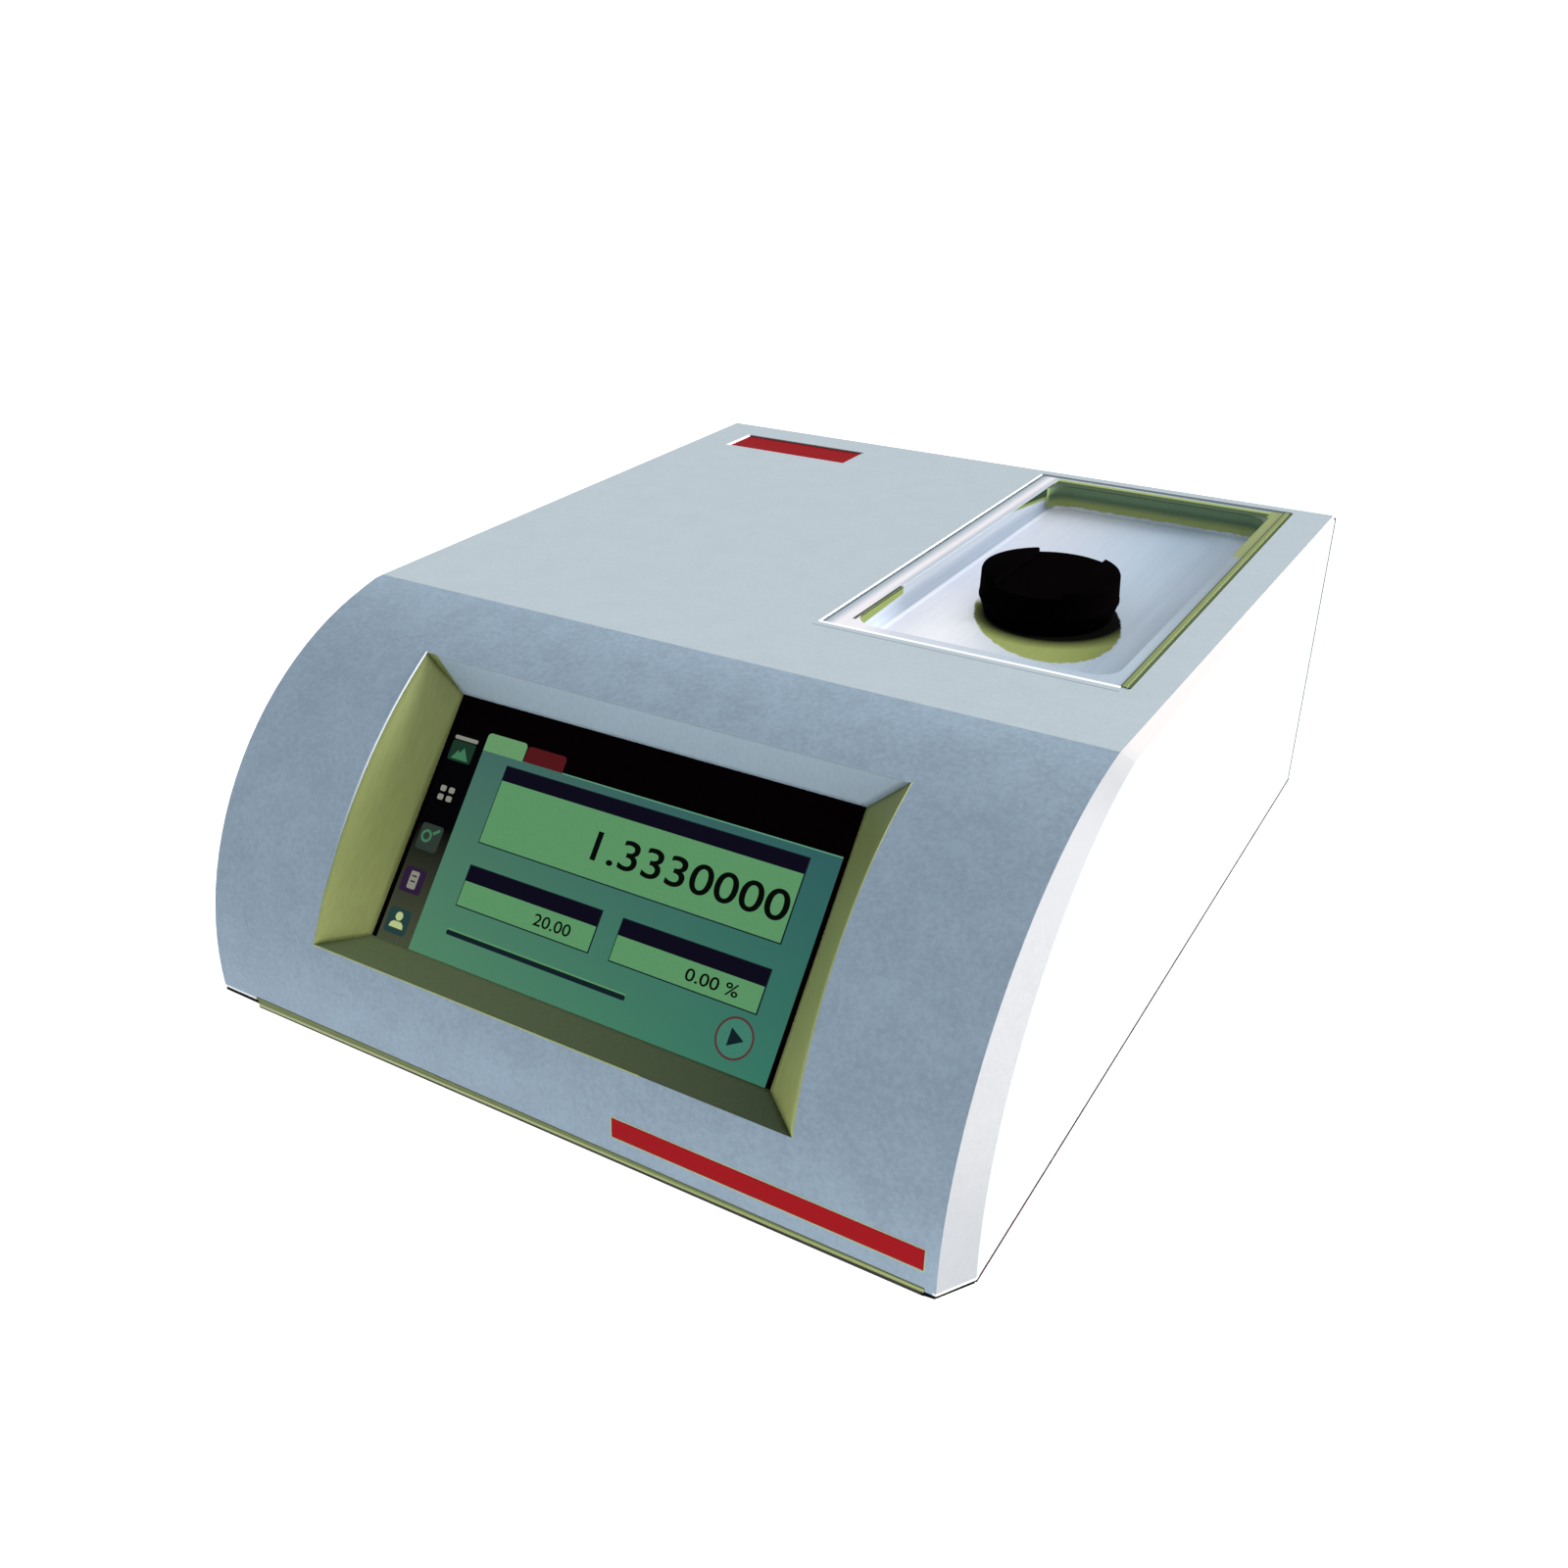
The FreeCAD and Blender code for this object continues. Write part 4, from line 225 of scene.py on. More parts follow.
def housing_paint():
    """Pale paint with orange peel; the curved front is a tone deeper as painted shade, the chamfers carry
    painted light, the foot a painted highlight line and the far edges a dark line of painted shade.
    """
    g = finish("housing_paint", PALE_PAINT, 0.55, grain=1500.0, bump=0.12, specular=0.16)
    x, y, z = g.axes()
    facing = g.add("ShaderNodeSeparateXYZ")
    g.plug(facing.inputs[0], g.add("ShaderNodeNewGeometry").outputs["True Normal"])
    sideways = g.math("ABSOLUTE", facing.outputs[0])
    cloud = g.noise(70.0, 5.0, 0.7)
    speck = g.noise(560.0, 5.0, 0.8)
    mottle = g.plus(g.times(cloud, 0.4), g.times(speck, 0.6))
    light = g.spread(mottle, 0.0, 1.0, 0.40, 0.60)

    # The curved front is deeper than the level top as painted shade, and lighter in its middle and at its foot
    # as painted light
    pale = g.blend(light, shade(PALE_PAINT, 0.965), shade(PALE_PAINT, 1.035))
    deep = g.blend(light, shade(FRONT_SHADED_PAINT, 0.90), shade(FRONT_SHADED_PAINT, 1.10))
    lit_band_tone = g.blend(light, shade(FRONT_SHADED_PAINT, 0.99), shade(FRONT_SHADED_PAINT, 1.20))
    deep = g.blend(g.band(z, 60, 124, 22), deep, lit_band_tone)
    deep = g.blend(g.fall(z, 16, 40), deep, lit_band_tone)
    curved = g.times(g.spread(sideways, 1.0, 0.0, 0.30, 0.34), g.fall(y, CREASE_Y - 0.2, CREASE_Y))
    painted = g.blend(curved, pale, deep)

    # Chamfers: painted light, by height beside the front, and white beside the top on the right
    low_corner = g.blend(light, (0.350, 0.362, 0.382), (0.375, 0.387, 0.407))
    high_corner = g.blend(light, (0.405, 0.415, 0.435), (0.435, 0.445, 0.465))
    corner = g.blend(g.rise(z, 22, 60), low_corner, high_corner)
    corner = g.blend(g.rise(z, 96, 122), corner, (0.385, 0.395, 0.415))
    chamfer = g.between(sideways, *CHAMFER_FACING)
    painted = g.blend(g.both(chamfer, g.fall(y, -80, -60)), painted, corner)
    painted = g.blend(g.both(chamfer, g.rise(y, -84, -64), g.rise(x, 100, 110)), painted, SIDE_LIT_WHITE)

    # A painted highlight line at the foot beside the lip, and a dark line painted at the rear edges for the
    # shade in the gap there
    beside_lip = g.plus(g.fall(x, -122.7, -122.5), g.rise(x, 136.9, 137.1))
    foot_highlight = g.both(g.fall(z, 8.7, 9.0), beside_lip, g.fall(y, -163.0, -162.0))
    painted = g.blend(foot_highlight, painted, EDGE_HIGHLIGHT)
    rear_shade_line = g.both(g.rise(y, 172.6, 172.8), g.rise(g.math("ABSOLUTE", x), 144.2, 144.6))
    g.set("Base Color", g.blend(rear_shade_line, painted, GAP_SHADE_BLACK))
    g.set("Roughness", g.spread(mottle, 0.48, 0.62))
    g.set("Coat Weight", 0.02)
    g.set("Coat Roughness", 0.45)
    return g


def brushed(name, colour, roughness, stretch, metallic=1.0):
    g = finish(name, colour, roughness, metallic, tone=0.07, patch=22.0, grain=700.0, bump=0.10,
               depth=0.00002, stretch=stretch)
    g.set("Anisotropic", 0.35)
    return g


# Places on the tray, in mm: the heights between which its walls give way to the rim, and the painted olive
# shadow before the lid, an ellipse by its centre, its half lengths and the direction of the long one
RIM_START = (127.75, 127.95)
HALO_X, HALO_Y = 75.9, 35.4
HALO_LONG, HALO_SHORT = 41.9, 26.0
HALO_SIN, HALO_COS = 0.4705, 0.8824
LID_SHADE_X, LID_SHADE_Y = 77, 38.6
# Rise of the painted shade marks on its left wall, in mm for each mm to the rear
SHADE_PATCH_SLOPE, SHADE_WEDGE_SLOPE = 0.031, 0.125


def tray_floor(g, x, y):
    """Painted light and shade: pale on the left and darker to the rear, blue grey in the middle and towards the
    right, lighter towards the front.
    """
    left = g.blend(g.rise(y, 5, 48), (0.835, 0.835, 0.86), (0.60, 0.64, 0.73))
    left = g.blend(g.both(g.fall(x, 34, 50), g.fall(y, 14, 60)), left, (0.66, 0.68, 0.76))
    middle = g.blend(g.rise(y, 40, 130), (0.49, 0.58, 0.67), (0.37, 0.48, 0.60))
    right = g.blend(g.rise(y, 30, 120), (0.61, 0.73, 0.86), (0.46, 0.56, 0.68))
    metal = g.blend(g.rise(x, 40, 92), left, middle)
    metal = g.blend(g.rise(x, 94, 108), metal, right)
    return g.blend(g.rise(x, 108, 117), metal, (0.42, 0.51, 0.60))


def tray_halo(g, x, y, z, ragged):
    """The mask of the painted olive shadow before the lid, and its tone, a painted contact shadow that is dark
    at the lid's foot.
    """
    across = g.minus(x, HALO_X * MM)
    along = g.minus(y, HALO_Y * MM)
    near = g.minus(g.times(across, HALO_SIN), g.times(along, HALO_COS))
    wide = g.plus(g.times(across, HALO_COS), g.times(along, HALO_SIN))
    length = g.math("POWER", g.math("DIVIDE", near, HALO_LONG * MM), 2.0)
    width = g.squared(g.math("DIVIDE", wide, HALO_SHORT * MM))
    reach = g.plus(g.plus(length, width), g.times(ragged, 0.035))
    halo = g.both(g.spread(reach, 1.0, 0.0, 0.97, 1.02), g.rise(near, -20, -12), g.fall(z, 118.9, 119.2))
    lid_x = g.squared(g.minus(x, LID_SHADE_X * MM))
    lid_y = g.squared(g.minus(y, LID_SHADE_Y * MM))
    from_lid = g.math("SQRT", g.plus(lid_x, lid_y))
    return halo, g.blend(g.rise(from_lid, 24.6, 32.5), srgb(10, 11, 9), srgb(142, 153, 92))


def tray_left_wall(g, metal, mask, y, z):
    """Painted shade: pale blue, darker to its foot and lighter at the front, with an olive patch at the front
    and a dark green wedge at the back.
    """
    tone = g.blend(g.rise(z, 121.0, 123.0), (0.215, 0.255, 0.312), (0.254, 0.293, 0.353))
    tone = g.blend(g.rise(z, 123.6, 125.0), tone, (0.318, 0.357, 0.411))
    tone = g.blend(g.fall(y, -6, 16), tone, (0.40, 0.45, 0.53))
    metal = g.blend(mask, metal, tone)
    level = g.minus(z, g.times(y, SHADE_PATCH_SLOPE))
    patch = g.both(mask, g.rise(level, 124.4, 124.8), g.fall(y, 14, 15))
    metal = g.blend(patch, metal, g.blend(g.rise(z, 127.0, 127.4), srgb(118, 130, 76), srgb(56, 68, 34)))
    slope = g.plus(z, g.times(y, SHADE_WEDGE_SLOPE))
    metal = g.blend(g.both(mask, g.rise(slope, 141.9, 142.3)), metal, srgb(108, 122, 72))
    return g.blend(g.both(mask, g.rise(slope, 143.0, 143.6)), metal, srgb(44, 58, 44))


def tray_far_wall(g, metal, foot, x, y, z):
    """Painted shade: green over an olive foot."""
    metal = g.blend(foot, metal, srgb(152, 166, 106))
    wall = g.both(foot, g.rise(z, 121.2, 123.6), g.fall(y, 164.4, 165.4), g.rise(x, 28.9, 29.3))
    green = g.blend(g.band(z, 124.2, 130.0, 1.6), srgb(96, 118, 91), srgb(112, 138, 106))
    green = g.blend(g.rise(z, 127.6, 127.9), green, srgb(70, 88, 66))
    return g.blend(wall, metal, green)


def tray_rim(g, metal, foot, x, y, z, ragged):
    """Painted light and shade: from a dark gap on the left through white to blue grey, with olive and green
    marks of painted shade at the corners.
    """
    on_rim = g.rise(z, *RIM_START)
    white = g.blend(g.rise(x, 21.2, 24.6), (0.33, 0.40, 0.46), (0.80, 0.78, 0.82))
    white = g.blend(g.both(g.rise(x, 25.4, 27.2), g.rise(y, -8, 20)), white, (0.49, 0.54, 0.61))
    white = g.blend(g.both(g.rise(x, 34, 46), g.fall(y, -20, -10)), white, (0.56, 0.61, 0.69))
    deep = g.blend(g.rise(y, -10, 90), (0.40, 0.49, 0.575), (0.255, 0.315, 0.37))
    rim = g.both(on_rim, g.spread(foot, 1.0, 0.0))
    metal = g.blend(rim, metal, g.blend(g.rise(x, 56, 104), white, deep))
    shade_patch_edge = g.both(on_rim, g.band(x, 27.3, 28.9, 0.3), g.band(y, -23, 14.5, 1.0))
    metal = g.blend(shade_patch_edge, metal, srgb(60, 72, 38))
    ragged_y = g.plus(y, g.times(ragged, 4 * MM))
    right_corner = g.both(on_rim, g.rise(x, 120.2, 120.8), g.rise(ragged_y, 104, 108))
    metal = g.blend(right_corner, metal, srgb(136, 148, 92))
    rear_corners = g.both(on_rim, g.band(x, 28.4, 121.7, 0.3), g.band(y, 150.4, 160.0, 0.3))
    return g.blend(rear_corners, metal, srgb(66, 82, 62))


def tray_steel():
    """Brushed sheet with painted light and shade: brighter on the left, green tinted walls and a painted olive
    shadow before the lid.
    """
    brushing = (1.0, 0.04, 1.0)
    g = brushed("tray_steel", (0.50, 0.57, 0.64), 0.45, brushing, 0.15)
    x, y, z = g.axes()
    grain = g.noise(700.0, 3.0, 0.6, g.stretched(brushing))
    ragged = g.spread(g.noise(300.0, 4.0, 0.7), -1.0, 1.0)
    below_rim = g.fall(z, *RIM_START)
    left_wall = g.both(g.fall(x, 30.6, 31.8), g.rise(x, 28.3, 28.45), g.rise(z, 118.5, 119.2), below_rim)
    # The far wall's painted shade has a ragged foot and runs on over the rim to an olive edge
    lifted = g.plus(z, g.times(ragged, 0.35 * MM))
    foot = g.both(g.rise(y, 152.0, 153.0), g.rise(lifted, 119.3, 119.6), g.band(x, 28.2, 121.9, 0.6),
                  g.fall(y, 167.2, 168.4), g.math("MAXIMUM", below_rim, g.rise(y, 159.2, 159.4)))

    halo, halo_tone = tray_halo(g, x, y, z, ragged)
    metal = g.blend(halo, tray_floor(g, x, y), halo_tone)
    metal = tray_left_wall(g, metal, left_wall, y, z)
    metal = tray_far_wall(g, metal, foot, x, y, z)
    metal = tray_rim(g, metal, foot, x, y, z, ragged)
    with_grain = g.add("ShaderNodeMix", data_type="RGBA", blend_type="MULTIPLY")
    with_grain.inputs["Factor"].default_value = 1.0
    g.plug(with_grain.inputs["A"], metal)
    g.plug(with_grain.inputs["B"], g.blend(g.spread(grain, 0.0, 1.0), (0.93, 0.93, 0.93), (1.0, 1.0, 1.0)))
    g.set("Base Color", with_grain.outputs["Result"])

    # The places with painted shade are dull, the rest has the sheet's gloss
    shade_painted = g.math("MAXIMUM", g.math("MAXIMUM", left_wall, foot), halo)
    g.set("Roughness", g.spread(shade_painted, 0.42, 0.8, 0.0, 1.0))
    g.set("Metallic", g.spread(shade_painted, 0.15, 0.0, 0.0, 1.0))
    g.set("Specular IOR Level", g.spread(shade_painted, 0.4, 0.02, 0.0, 1.0))
    return g


RED = (0.345, 0.0065, 0.011)
BOARD_GREEN = (0.012, 0.11, 0.045)
LIP_SLOPE = 0.0081


def red_paint(name, share):
    return finish(name, shade(RED, share), 0.55, tone=0.04, patch=90.0, grain=1100.0, bump=0.05, specular=0.03)


def base_plate_steel():
    """Olive coated sheet: the groove over the front lip is darker than the lip as painted shade, and the lip's
    lower edge black as a painted shadow line.
    """
    g = finish("base_steel", OLIVE, 0.5, tone=0.08, patch=70.0, specular=0.25)
    x, _, z = g.axes()
    tone = g.spread(g.noise(500.0), 0.0, 0.4)
    level = g.minus(z, g.times(x, LIP_SLOPE))
    pale = g.blend(g.rise(x, -70, 80), srgb(170, 178, 130), srgb(160, 174, 108))
    groove = g.blend(tone, shade(OLIVE, 0.55), shade(OLIVE, 0.75))
    lip = g.blend(g.rise(level, 7.25, 7.45), pale, groove)
    g.set("Base Color", g.blend(g.fall(level, 6.25, 6.4), lip, (0.008, 0.008, 0.008)))
    return g


def board_green():
    """Solder mask with the faint pattern of the tracks under it."""
    g = finish("board_green", BOARD_GREEN, 0.32, tone=0.12, patch=120.0)
    tracks = g.add("ShaderNodeTexBrick")
    g.plug(tracks.inputs["Vector"], g.place)
    tracks.inputs["Scale"].default_value = 260.0
    tracks.inputs["Mortar Size"].default_value = 0.06
    g.set("Base Color", g.blend(tracks.outputs["Fac"], BOARD_GREEN, (0.03, 0.20, 0.09)))
    return g


MATERIALS = {
    "housing_paint": housing_paint(),
    "base_steel": base_plate_steel(),
    "tray_steel": tray_steel(),
    "polished_steel": brushed("polished_steel", (0.66, 0.67, 0.68), 0.2, (0.1, 1.0, 1.0)),
    "screw_steel": finish("screw_steel", (0.52, 0.53, 0.54), 0.34, 1.0, tone=0.1, patch=300.0),
    "black_cap": finish("black_cap", (0.0009, 0.0005, 0.0006), 0.8, tone=0.2, grain=1600.0, specular=0.003),
    "black_rubber": finish("black_rubber", (0.012, 0.012, 0.012), 0.85, tone=0.2, bump=0.3, specular=0.2),
    "screen_glass": finish("screen_glass", (0.0012, 0.0008, 0.0010), 0.16, tone=0.2, patch=20.0, bump=0.01,
                           specular=0.03),
    "prism_glass": clear_glass("prism_glass", (0.90, 0.95, 0.97), 0.03, 0.85),
    "filter_glass": clear_glass("filter_glass", (0.95, 0.62, 0.12), 0.04, 0.6),
    "red_plate": red_paint("red_plate", 1.0),
    "panel_black": finish("panel_black", (0.016, 0.016, 0.018), 0.48, tone=0.15, bump=0.25),
    "board_green": board_green(),
    "bare_aluminium": brushed("bare_aluminium", (0.70, 0.71, 0.72), 0.38, (1.0, 0.1, 1.0)),
    "black_aluminium": finish("black_aluminium", (0.02, 0.02, 0.022), 0.42, 0.4, tone=0.1),
    "ceramic_white": finish("ceramic_white", (0.80, 0.79, 0.75), 0.3, tone=0.04),
    "brass_pin": finish("brass_pin", (0.78, 0.60, 0.28), 0.25, 1.0, tone=0.06, patch=200.0),
    "fuse_glass": clear_glass("fuse_glass", (0.90, 0.93, 0.95), 0.05, 0.7),
}

slot_of = {row["node"]: row["material_slot"] for row in frame["record"]["subparts"]}
OWN_FINISH = {"top_plate": red_paint("red_plate_top", 0.70)}
for node, obj in frame["nodes"].items():
    made = OWN_FINISH.get(node, MATERIALS[slot_of[node]]).material
    if not obj.material_slots:
        obj.data.materials.append(made)
    for place in obj.material_slots:
        place.material = made


# Pieces

def piece(name, mesh, graph, matrix=None, body=BODY):
    mesh.materials.append(graph.material)
    obj = bpy.data.objects.new(name, mesh)
    bpy.context.scene.collection.objects.link(obj)
    if matrix is not None:
        obj.matrix_world = matrix
    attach(obj, body)
    return obj


def to_mesh(bm, name):
    bmesh.ops.recalc_face_normals(bm, faces=bm.faces)
    mesh = bpy.data.meshes.new(name)
    bm.to_mesh(mesh)
    bm.free()
    return mesh


def plate_mesh(name, outline, low, high):
    """A flat plate between two heights, given by its outline in the plane of the mesh."""
    bm = bmesh.new()
    lower = [bm.verts.new((x, y, low)) for x, y in outline]
    upper = [bm.verts.new((x, y, high)) for x, y in outline]
    bm.faces.new(list(reversed(lower)))
    bm.faces.new(upper)
    for index in range(len(outline)):
        after = (index + 1) % len(outline)
        bm.faces.new([lower[index], lower[after], upper[after], upper[index]])
    return to_mesh(bm, name)


def around(x, y, radius, angle):
    return x + radius * math.cos(angle), y + radius * math.sin(angle)


def rounded_outline(left, right, low, high, radius, steps=6):
    points = []
    for x, y, start in ((right, high, 0), (left, high, 90), (left, low, 180), (right, low, 270)):
        inner_x = x - radius if x == right else x + radius
        inner_y = y - radius if y == high else y + radius
        points += [around(inner_x, inner_y, radius, math.radians(start + 90 * step / steps))
                   for step in range(steps + 1)]
    return points


def disc_outline(x, y, radius, steps):
    return [around(x, y, radius, 2 * math.pi / steps * step) for step in range(steps)]


def ring_mesh(name, x, y, outer, inner, low, high, steps=64):
    """A flat ring with a rounded crown."""
    middle = (low + high) / 2
    profile = [(outer, low), (outer, middle), ((outer * 3 + inner) / 4, high),
               ((outer + inner * 3) / 4, high), (inner, middle), (inner, low)]
    bm = bmesh.new()
    rings = []
    for step in range(steps):
        angle = 2 * math.pi * step / steps
        rings.append([bm.verts.new((*around(x, y, radius, angle), height)) for radius, height in profile])
    for step in range(steps):
        here = rings[step]
        after = rings[(step + 1) % steps]
        for index in range(len(profile)):
            nearby = (index + 1) % len(profile)
            bm.faces.new([here[index], after[index], after[nearby], here[nearby]])
    return to_mesh(bm, name)


# The screen's own frame: X across, Y up along the glass, Z out of it. The arc is the housing's curved front.

ARC_Y = -59.0 * MM
ARC_Z = 13.4 * MM
RADIUS = 116.0 * MM
REACH = RADIUS - 20.8 * MM
TILT = math.radians(40.0)
HALF_W = 77.05 * MM
HALF_H = 42.95 * MM
SCREEN = (Matrix.Translation((0.0, ARC_Y - REACH * math.cos(TILT), ARC_Z + REACH * math.sin(TILT)))
          @ Matrix.Rotation(math.radians(90.0) - TILT, 4, "X"))


# Bezel: a thin liner on each wall of the recess, in olive tones of painted shade, and a rounded lip round its
# mouth with painted highlights

MOUTH_HALF_H = 52.1 * MM
MOUTH_CORNER = 91.4 * MM
MOUTH_CROWN = {"left": 87.2 * MM, "right": 91.4 * MM}
FAR_SHARE = 1.6
WALL_STEP = 0.01
IN_RECESS = Vector((0, 0, 30 * MM))
LINER_LIFT, LINER_THICKNESS = 0.05 * MM, 0.12 * MM


def reach_out(near, at_mouth):
    return near + (at_mouth - near) * FAR_SHARE


def far_corner():
    rise = math.sqrt(RADIUS ** 2 - MOUTH_HALF_H ** 2) - REACH
    return reach_out(Vector((HALF_W, HALF_H, 0)), Vector((MOUTH_CORNER, MOUTH_HALF_H, rise)))


def far_edge(side, share):
    """A point on the arc that a side wall is drawn towards, from the bottom (0) to the top (1)."""
    corner = far_corner()
    crown = reach_out(Vector((HALF_W, 0, 0)), Vector((MOUTH_CROWN[side], 0, RADIUS - REACH)))
    middle = Vector((corner.x, 0, corner.z))
    out = crown - middle
    radius = (corner.y ** 2 + out.length ** 2) / (2 * out.length)
    half = math.asin(corner.y / radius)
    angle = half * (2 * share - 1)
    out.normalize()
    return crown - out * radius * (1 - math.cos(angle)) + Vector((0, radius * math.sin(angle), 0))


def wall_line(side, share):
    """The near and far ends of the recess wall, at a share of the way along it."""
    if side in ("left", "right"):
        near = Vector((HALF_W, HALF_H * (2 * share - 1), 0))
        far = far_edge(side, share)
        sign = -1 if side == "left" else 1
        return Vector((near.x * sign, near.y, near.z)), Vector((far.x * sign, far.y, far.z))
    corner = far_corner()
    sign = 1 if side == "top" else -1
    along = 2 * share - 1
    return Vector((HALF_W * along, sign * HALF_H, 0)), Vector((corner.x * along, sign * corner.y, corner.z))


def mouth_share(near, far):
    """How far along the line the housing's curved face lies."""
    low, high = 0.0, 1.0
    for _ in range(40):
        middle = (low + high) / 2
        point = near.lerp(far, middle)
        if point.y ** 2 + (point.z + REACH) ** 2 < RADIUS ** 2:
            low = middle
        else:
            high = middle
    return low


def wall_mesh(side, along=48, up=10):
    """The liner as a thin closed shell that lies on the wall, lifted off it towards the recess."""
    bm = bmesh.new()
    layers = []
    for height in (LINER_LIFT, LINER_LIFT + LINER_THICKNESS):
        rows = []
        for i in range(along + 1):
            share = i / along
            near, far = wall_line(side, share)
            reach = mouth_share(near, far)
            ahead_near, ahead_far = wall_line(side, min(1.0, share + WALL_STEP))
            behind_near, behind_far = wall_line(side, max(0.0, share - WALL_STEP))
            row = []
            for j in range(up + 1):
                s = reach * j / up
                point = near.lerp(far, s)
                across = ahead_near.lerp(ahead_far, s) - behind_near.lerp(behind_far, s)
                normal = across.cross(far - near).normalized()
                if normal.dot(IN_RECESS - point) < 0:
                    normal = -normal
                row.append(bm.verts.new(point + normal * height))
            rows.append(row)
        layers.append(rows)
    for rows in layers:
        for i in range(along):
            for j in range(up):
                bm.faces.new([rows[i][j], rows[i + 1][j], rows[i + 1][j + 1], rows[i][j + 1]])
    low, high = layers
    rim = ([(i, 0) for i in range(along)] + [(along, j) for j in range(up)]
           + [(i, up) for i in range(along, 0, -1)] + [(0, j) for j in range(up, 0, -1)])
    for index, (i, j) in enumerate(rim):
        k, m = rim[(index + 1) % len(rim)]
        bm.faces.new([low[i][j], low[k][m], high[k][m], high[i][j]])
    for face in bm.faces:
        face.smooth = True
    return to_mesh(bm, "screen_bezel_" + side)


def bezel_finish(name, low, high, axis=1):
    """Liner paint in painted shade, whose tone changes along the wall, from the bottom or left (low) to the top
    or right.
    """
    streaks = (1.0, 0.15, 1.0)
    g = finish(name, low, 0.5, 0.1, tone=0.09, patch=45.0, grain=800.0, bump=0.08, stretch=streaks,
               specular=0.25)
    half = HALF_H if axis == 1 else HALF_W
    along = g.spread(g.axes()[axis], 0.0, 1.0, -half, half)
    grain = g.spread(g.noise(800.0, 3.0, 0.6, g.stretched(streaks)), 0.0, 1.0)
    dim = g.blend(along, shade(low, 0.94), shade(high, 0.94))
    lit_up = g.blend(along, shade(low, 1.06), shade(high, 1.06))
    g.set("Base Color", g.blend(grain, dim, lit_up))
    return g


# Painted shade: olive tones on the sides, darkest at the bottom, and the front's grey at the top
BEZEL = {
    "left": bezel_finish("bezel_left", (0.326, 0.370, 0.124), (0.208, 0.242, 0.088)),
    "right": bezel_finish("bezel_right", (0.322, 0.370, 0.130), (0.152, 0.190, 0.070)),
    "bottom": bezel_finish("bezel_bottom", (0.122, 0.160, 0.074), (0.058, 0.080, 0.038), 0),
    "top": bezel_finish("bezel_top", (0.325, 0.42, 0.50), (0.325, 0.42, 0.50)),
}


# Slope of the border between the upper liner's grey and its olive end of painted shade
TIP_SLOPE = 1.108


def olive_tip(g):
    """The upper liner is olive where it meets the left one, as painted shade."""
    across, _, height = g.axes()
    edge = g.plus(across, g.times(height, TIP_SLOPE))
    tip = g.spread(edge, 1.0, 0.0, -HALF_W - 0.5 * MM, -HALF_W + 0.3 * MM)
    grey = g.shader.inputs["Base Color"].links[0].from_socket
    g.set("Base Color", g.blend(tip, grey, (0.215, 0.250, 0.092)))


olive_tip(BEZEL["top"])
for side, graph in BEZEL.items():
    piece("screen_bezel_" + side, wall_mesh(side), graph, SCREEN)


def tube(name, points, radius, graph, matrix=None, closed=False):
    """A fine round bead along the points."""
    curve = bpy.data.curves.new(name, "CURVE")
    curve.dimensions = "3D"
    curve.bevel_depth = radius
    curve.bevel_resolution = 3
    spline = curve.splines.new("POLY")
    spline.points.add(len(points) - 1)
    for index, point in enumerate(points):
        spline.points[index].co = (*point, 1.0)
    spline.use_cyclic_u = closed
    holder = bpy.data.objects.new(name + "_curve", curve)
    mesh = bpy.data.meshes.new_from_object(holder)
    bpy.data.objects.remove(holder)
    for polygon in mesh.polygons:
        polygon.use_smooth = True
    mesh.name = name
    piece(name, mesh, graph, matrix)


def mouth_points(side, first, last, steps=40):
    points = []
    for i in range(steps + 1):
        near, far = wall_line(side, first + (last - first) * i / steps)
        points.append(near.lerp(far, mouth_share(near, far)))
    return points


# Painted highlights: white, pale olive and grey for lines on edges that catch the light
WHITE_HIGHLIGHT = finish("white_highlight", EDGE_HIGHLIGHT, 0.4, tone=0.03, bump=0.05)
OLIVE_HIGHLIGHT = finish("olive_highlight", srgb(168, 180, 120), 0.45, tone=0.05, bump=0.05, specular=0.2)
GREY_HIGHLIGHT = finish("grey_highlight", (0.37, 0.45, 0.52), 0.45, tone=0.05, bump=0.05, specular=0.3)


def fading_highlight():
    g = finish("highlight_fading", EDGE_HIGHLIGHT, 0.45, tone=0.05, bump=0.05, specular=0.2)
    _, down, _ = g.axes()
    g.set("Base Color", g.blend(g.rise(down, -20, 12), (0.27, 0.35, 0.42), (0.60, 0.67, 0.76)))
    return g


# The mouth's bead carries painted highlights: white on the left that fades to dark at its lower end, grey at
# the top, pale olive at the bottom and right
for side, first, last, radius, graph in (
    ("left", 0.2, 1.0, 0.34, fading_highlight()),
    ("top", 0.02, 0.98, 0.12, GREY_HIGHLIGHT),
    ("bottom", 0.0, 0.72, 0.2, OLIVE_HIGHLIGHT),
    ("right", 0.0, 1.0, 0.14, OLIVE_HIGHLIGHT),
):
    tube("mouth_highlight_" + side, mouth_points(side, first, last), radius * MM, graph, SCREEN)


# What the display shows: places in mm from its upper left corner. Plates of a higher level lie over lower ones.

LEVEL_STEP = 0.02
LIT_FOOT, LIT_THICKNESS = 0.01, 0.015
RING_LOW, RING_HIGH = 0.07, 0.1
FIGURE_LIFT = 0.1
# A figure's height, as a share of its font's size, and its added weight and thickness
FIGURE_SHARE, FIGURE_WEIGHT, FIGURE_THICKNESS = 0.72, 0.012, 0.005


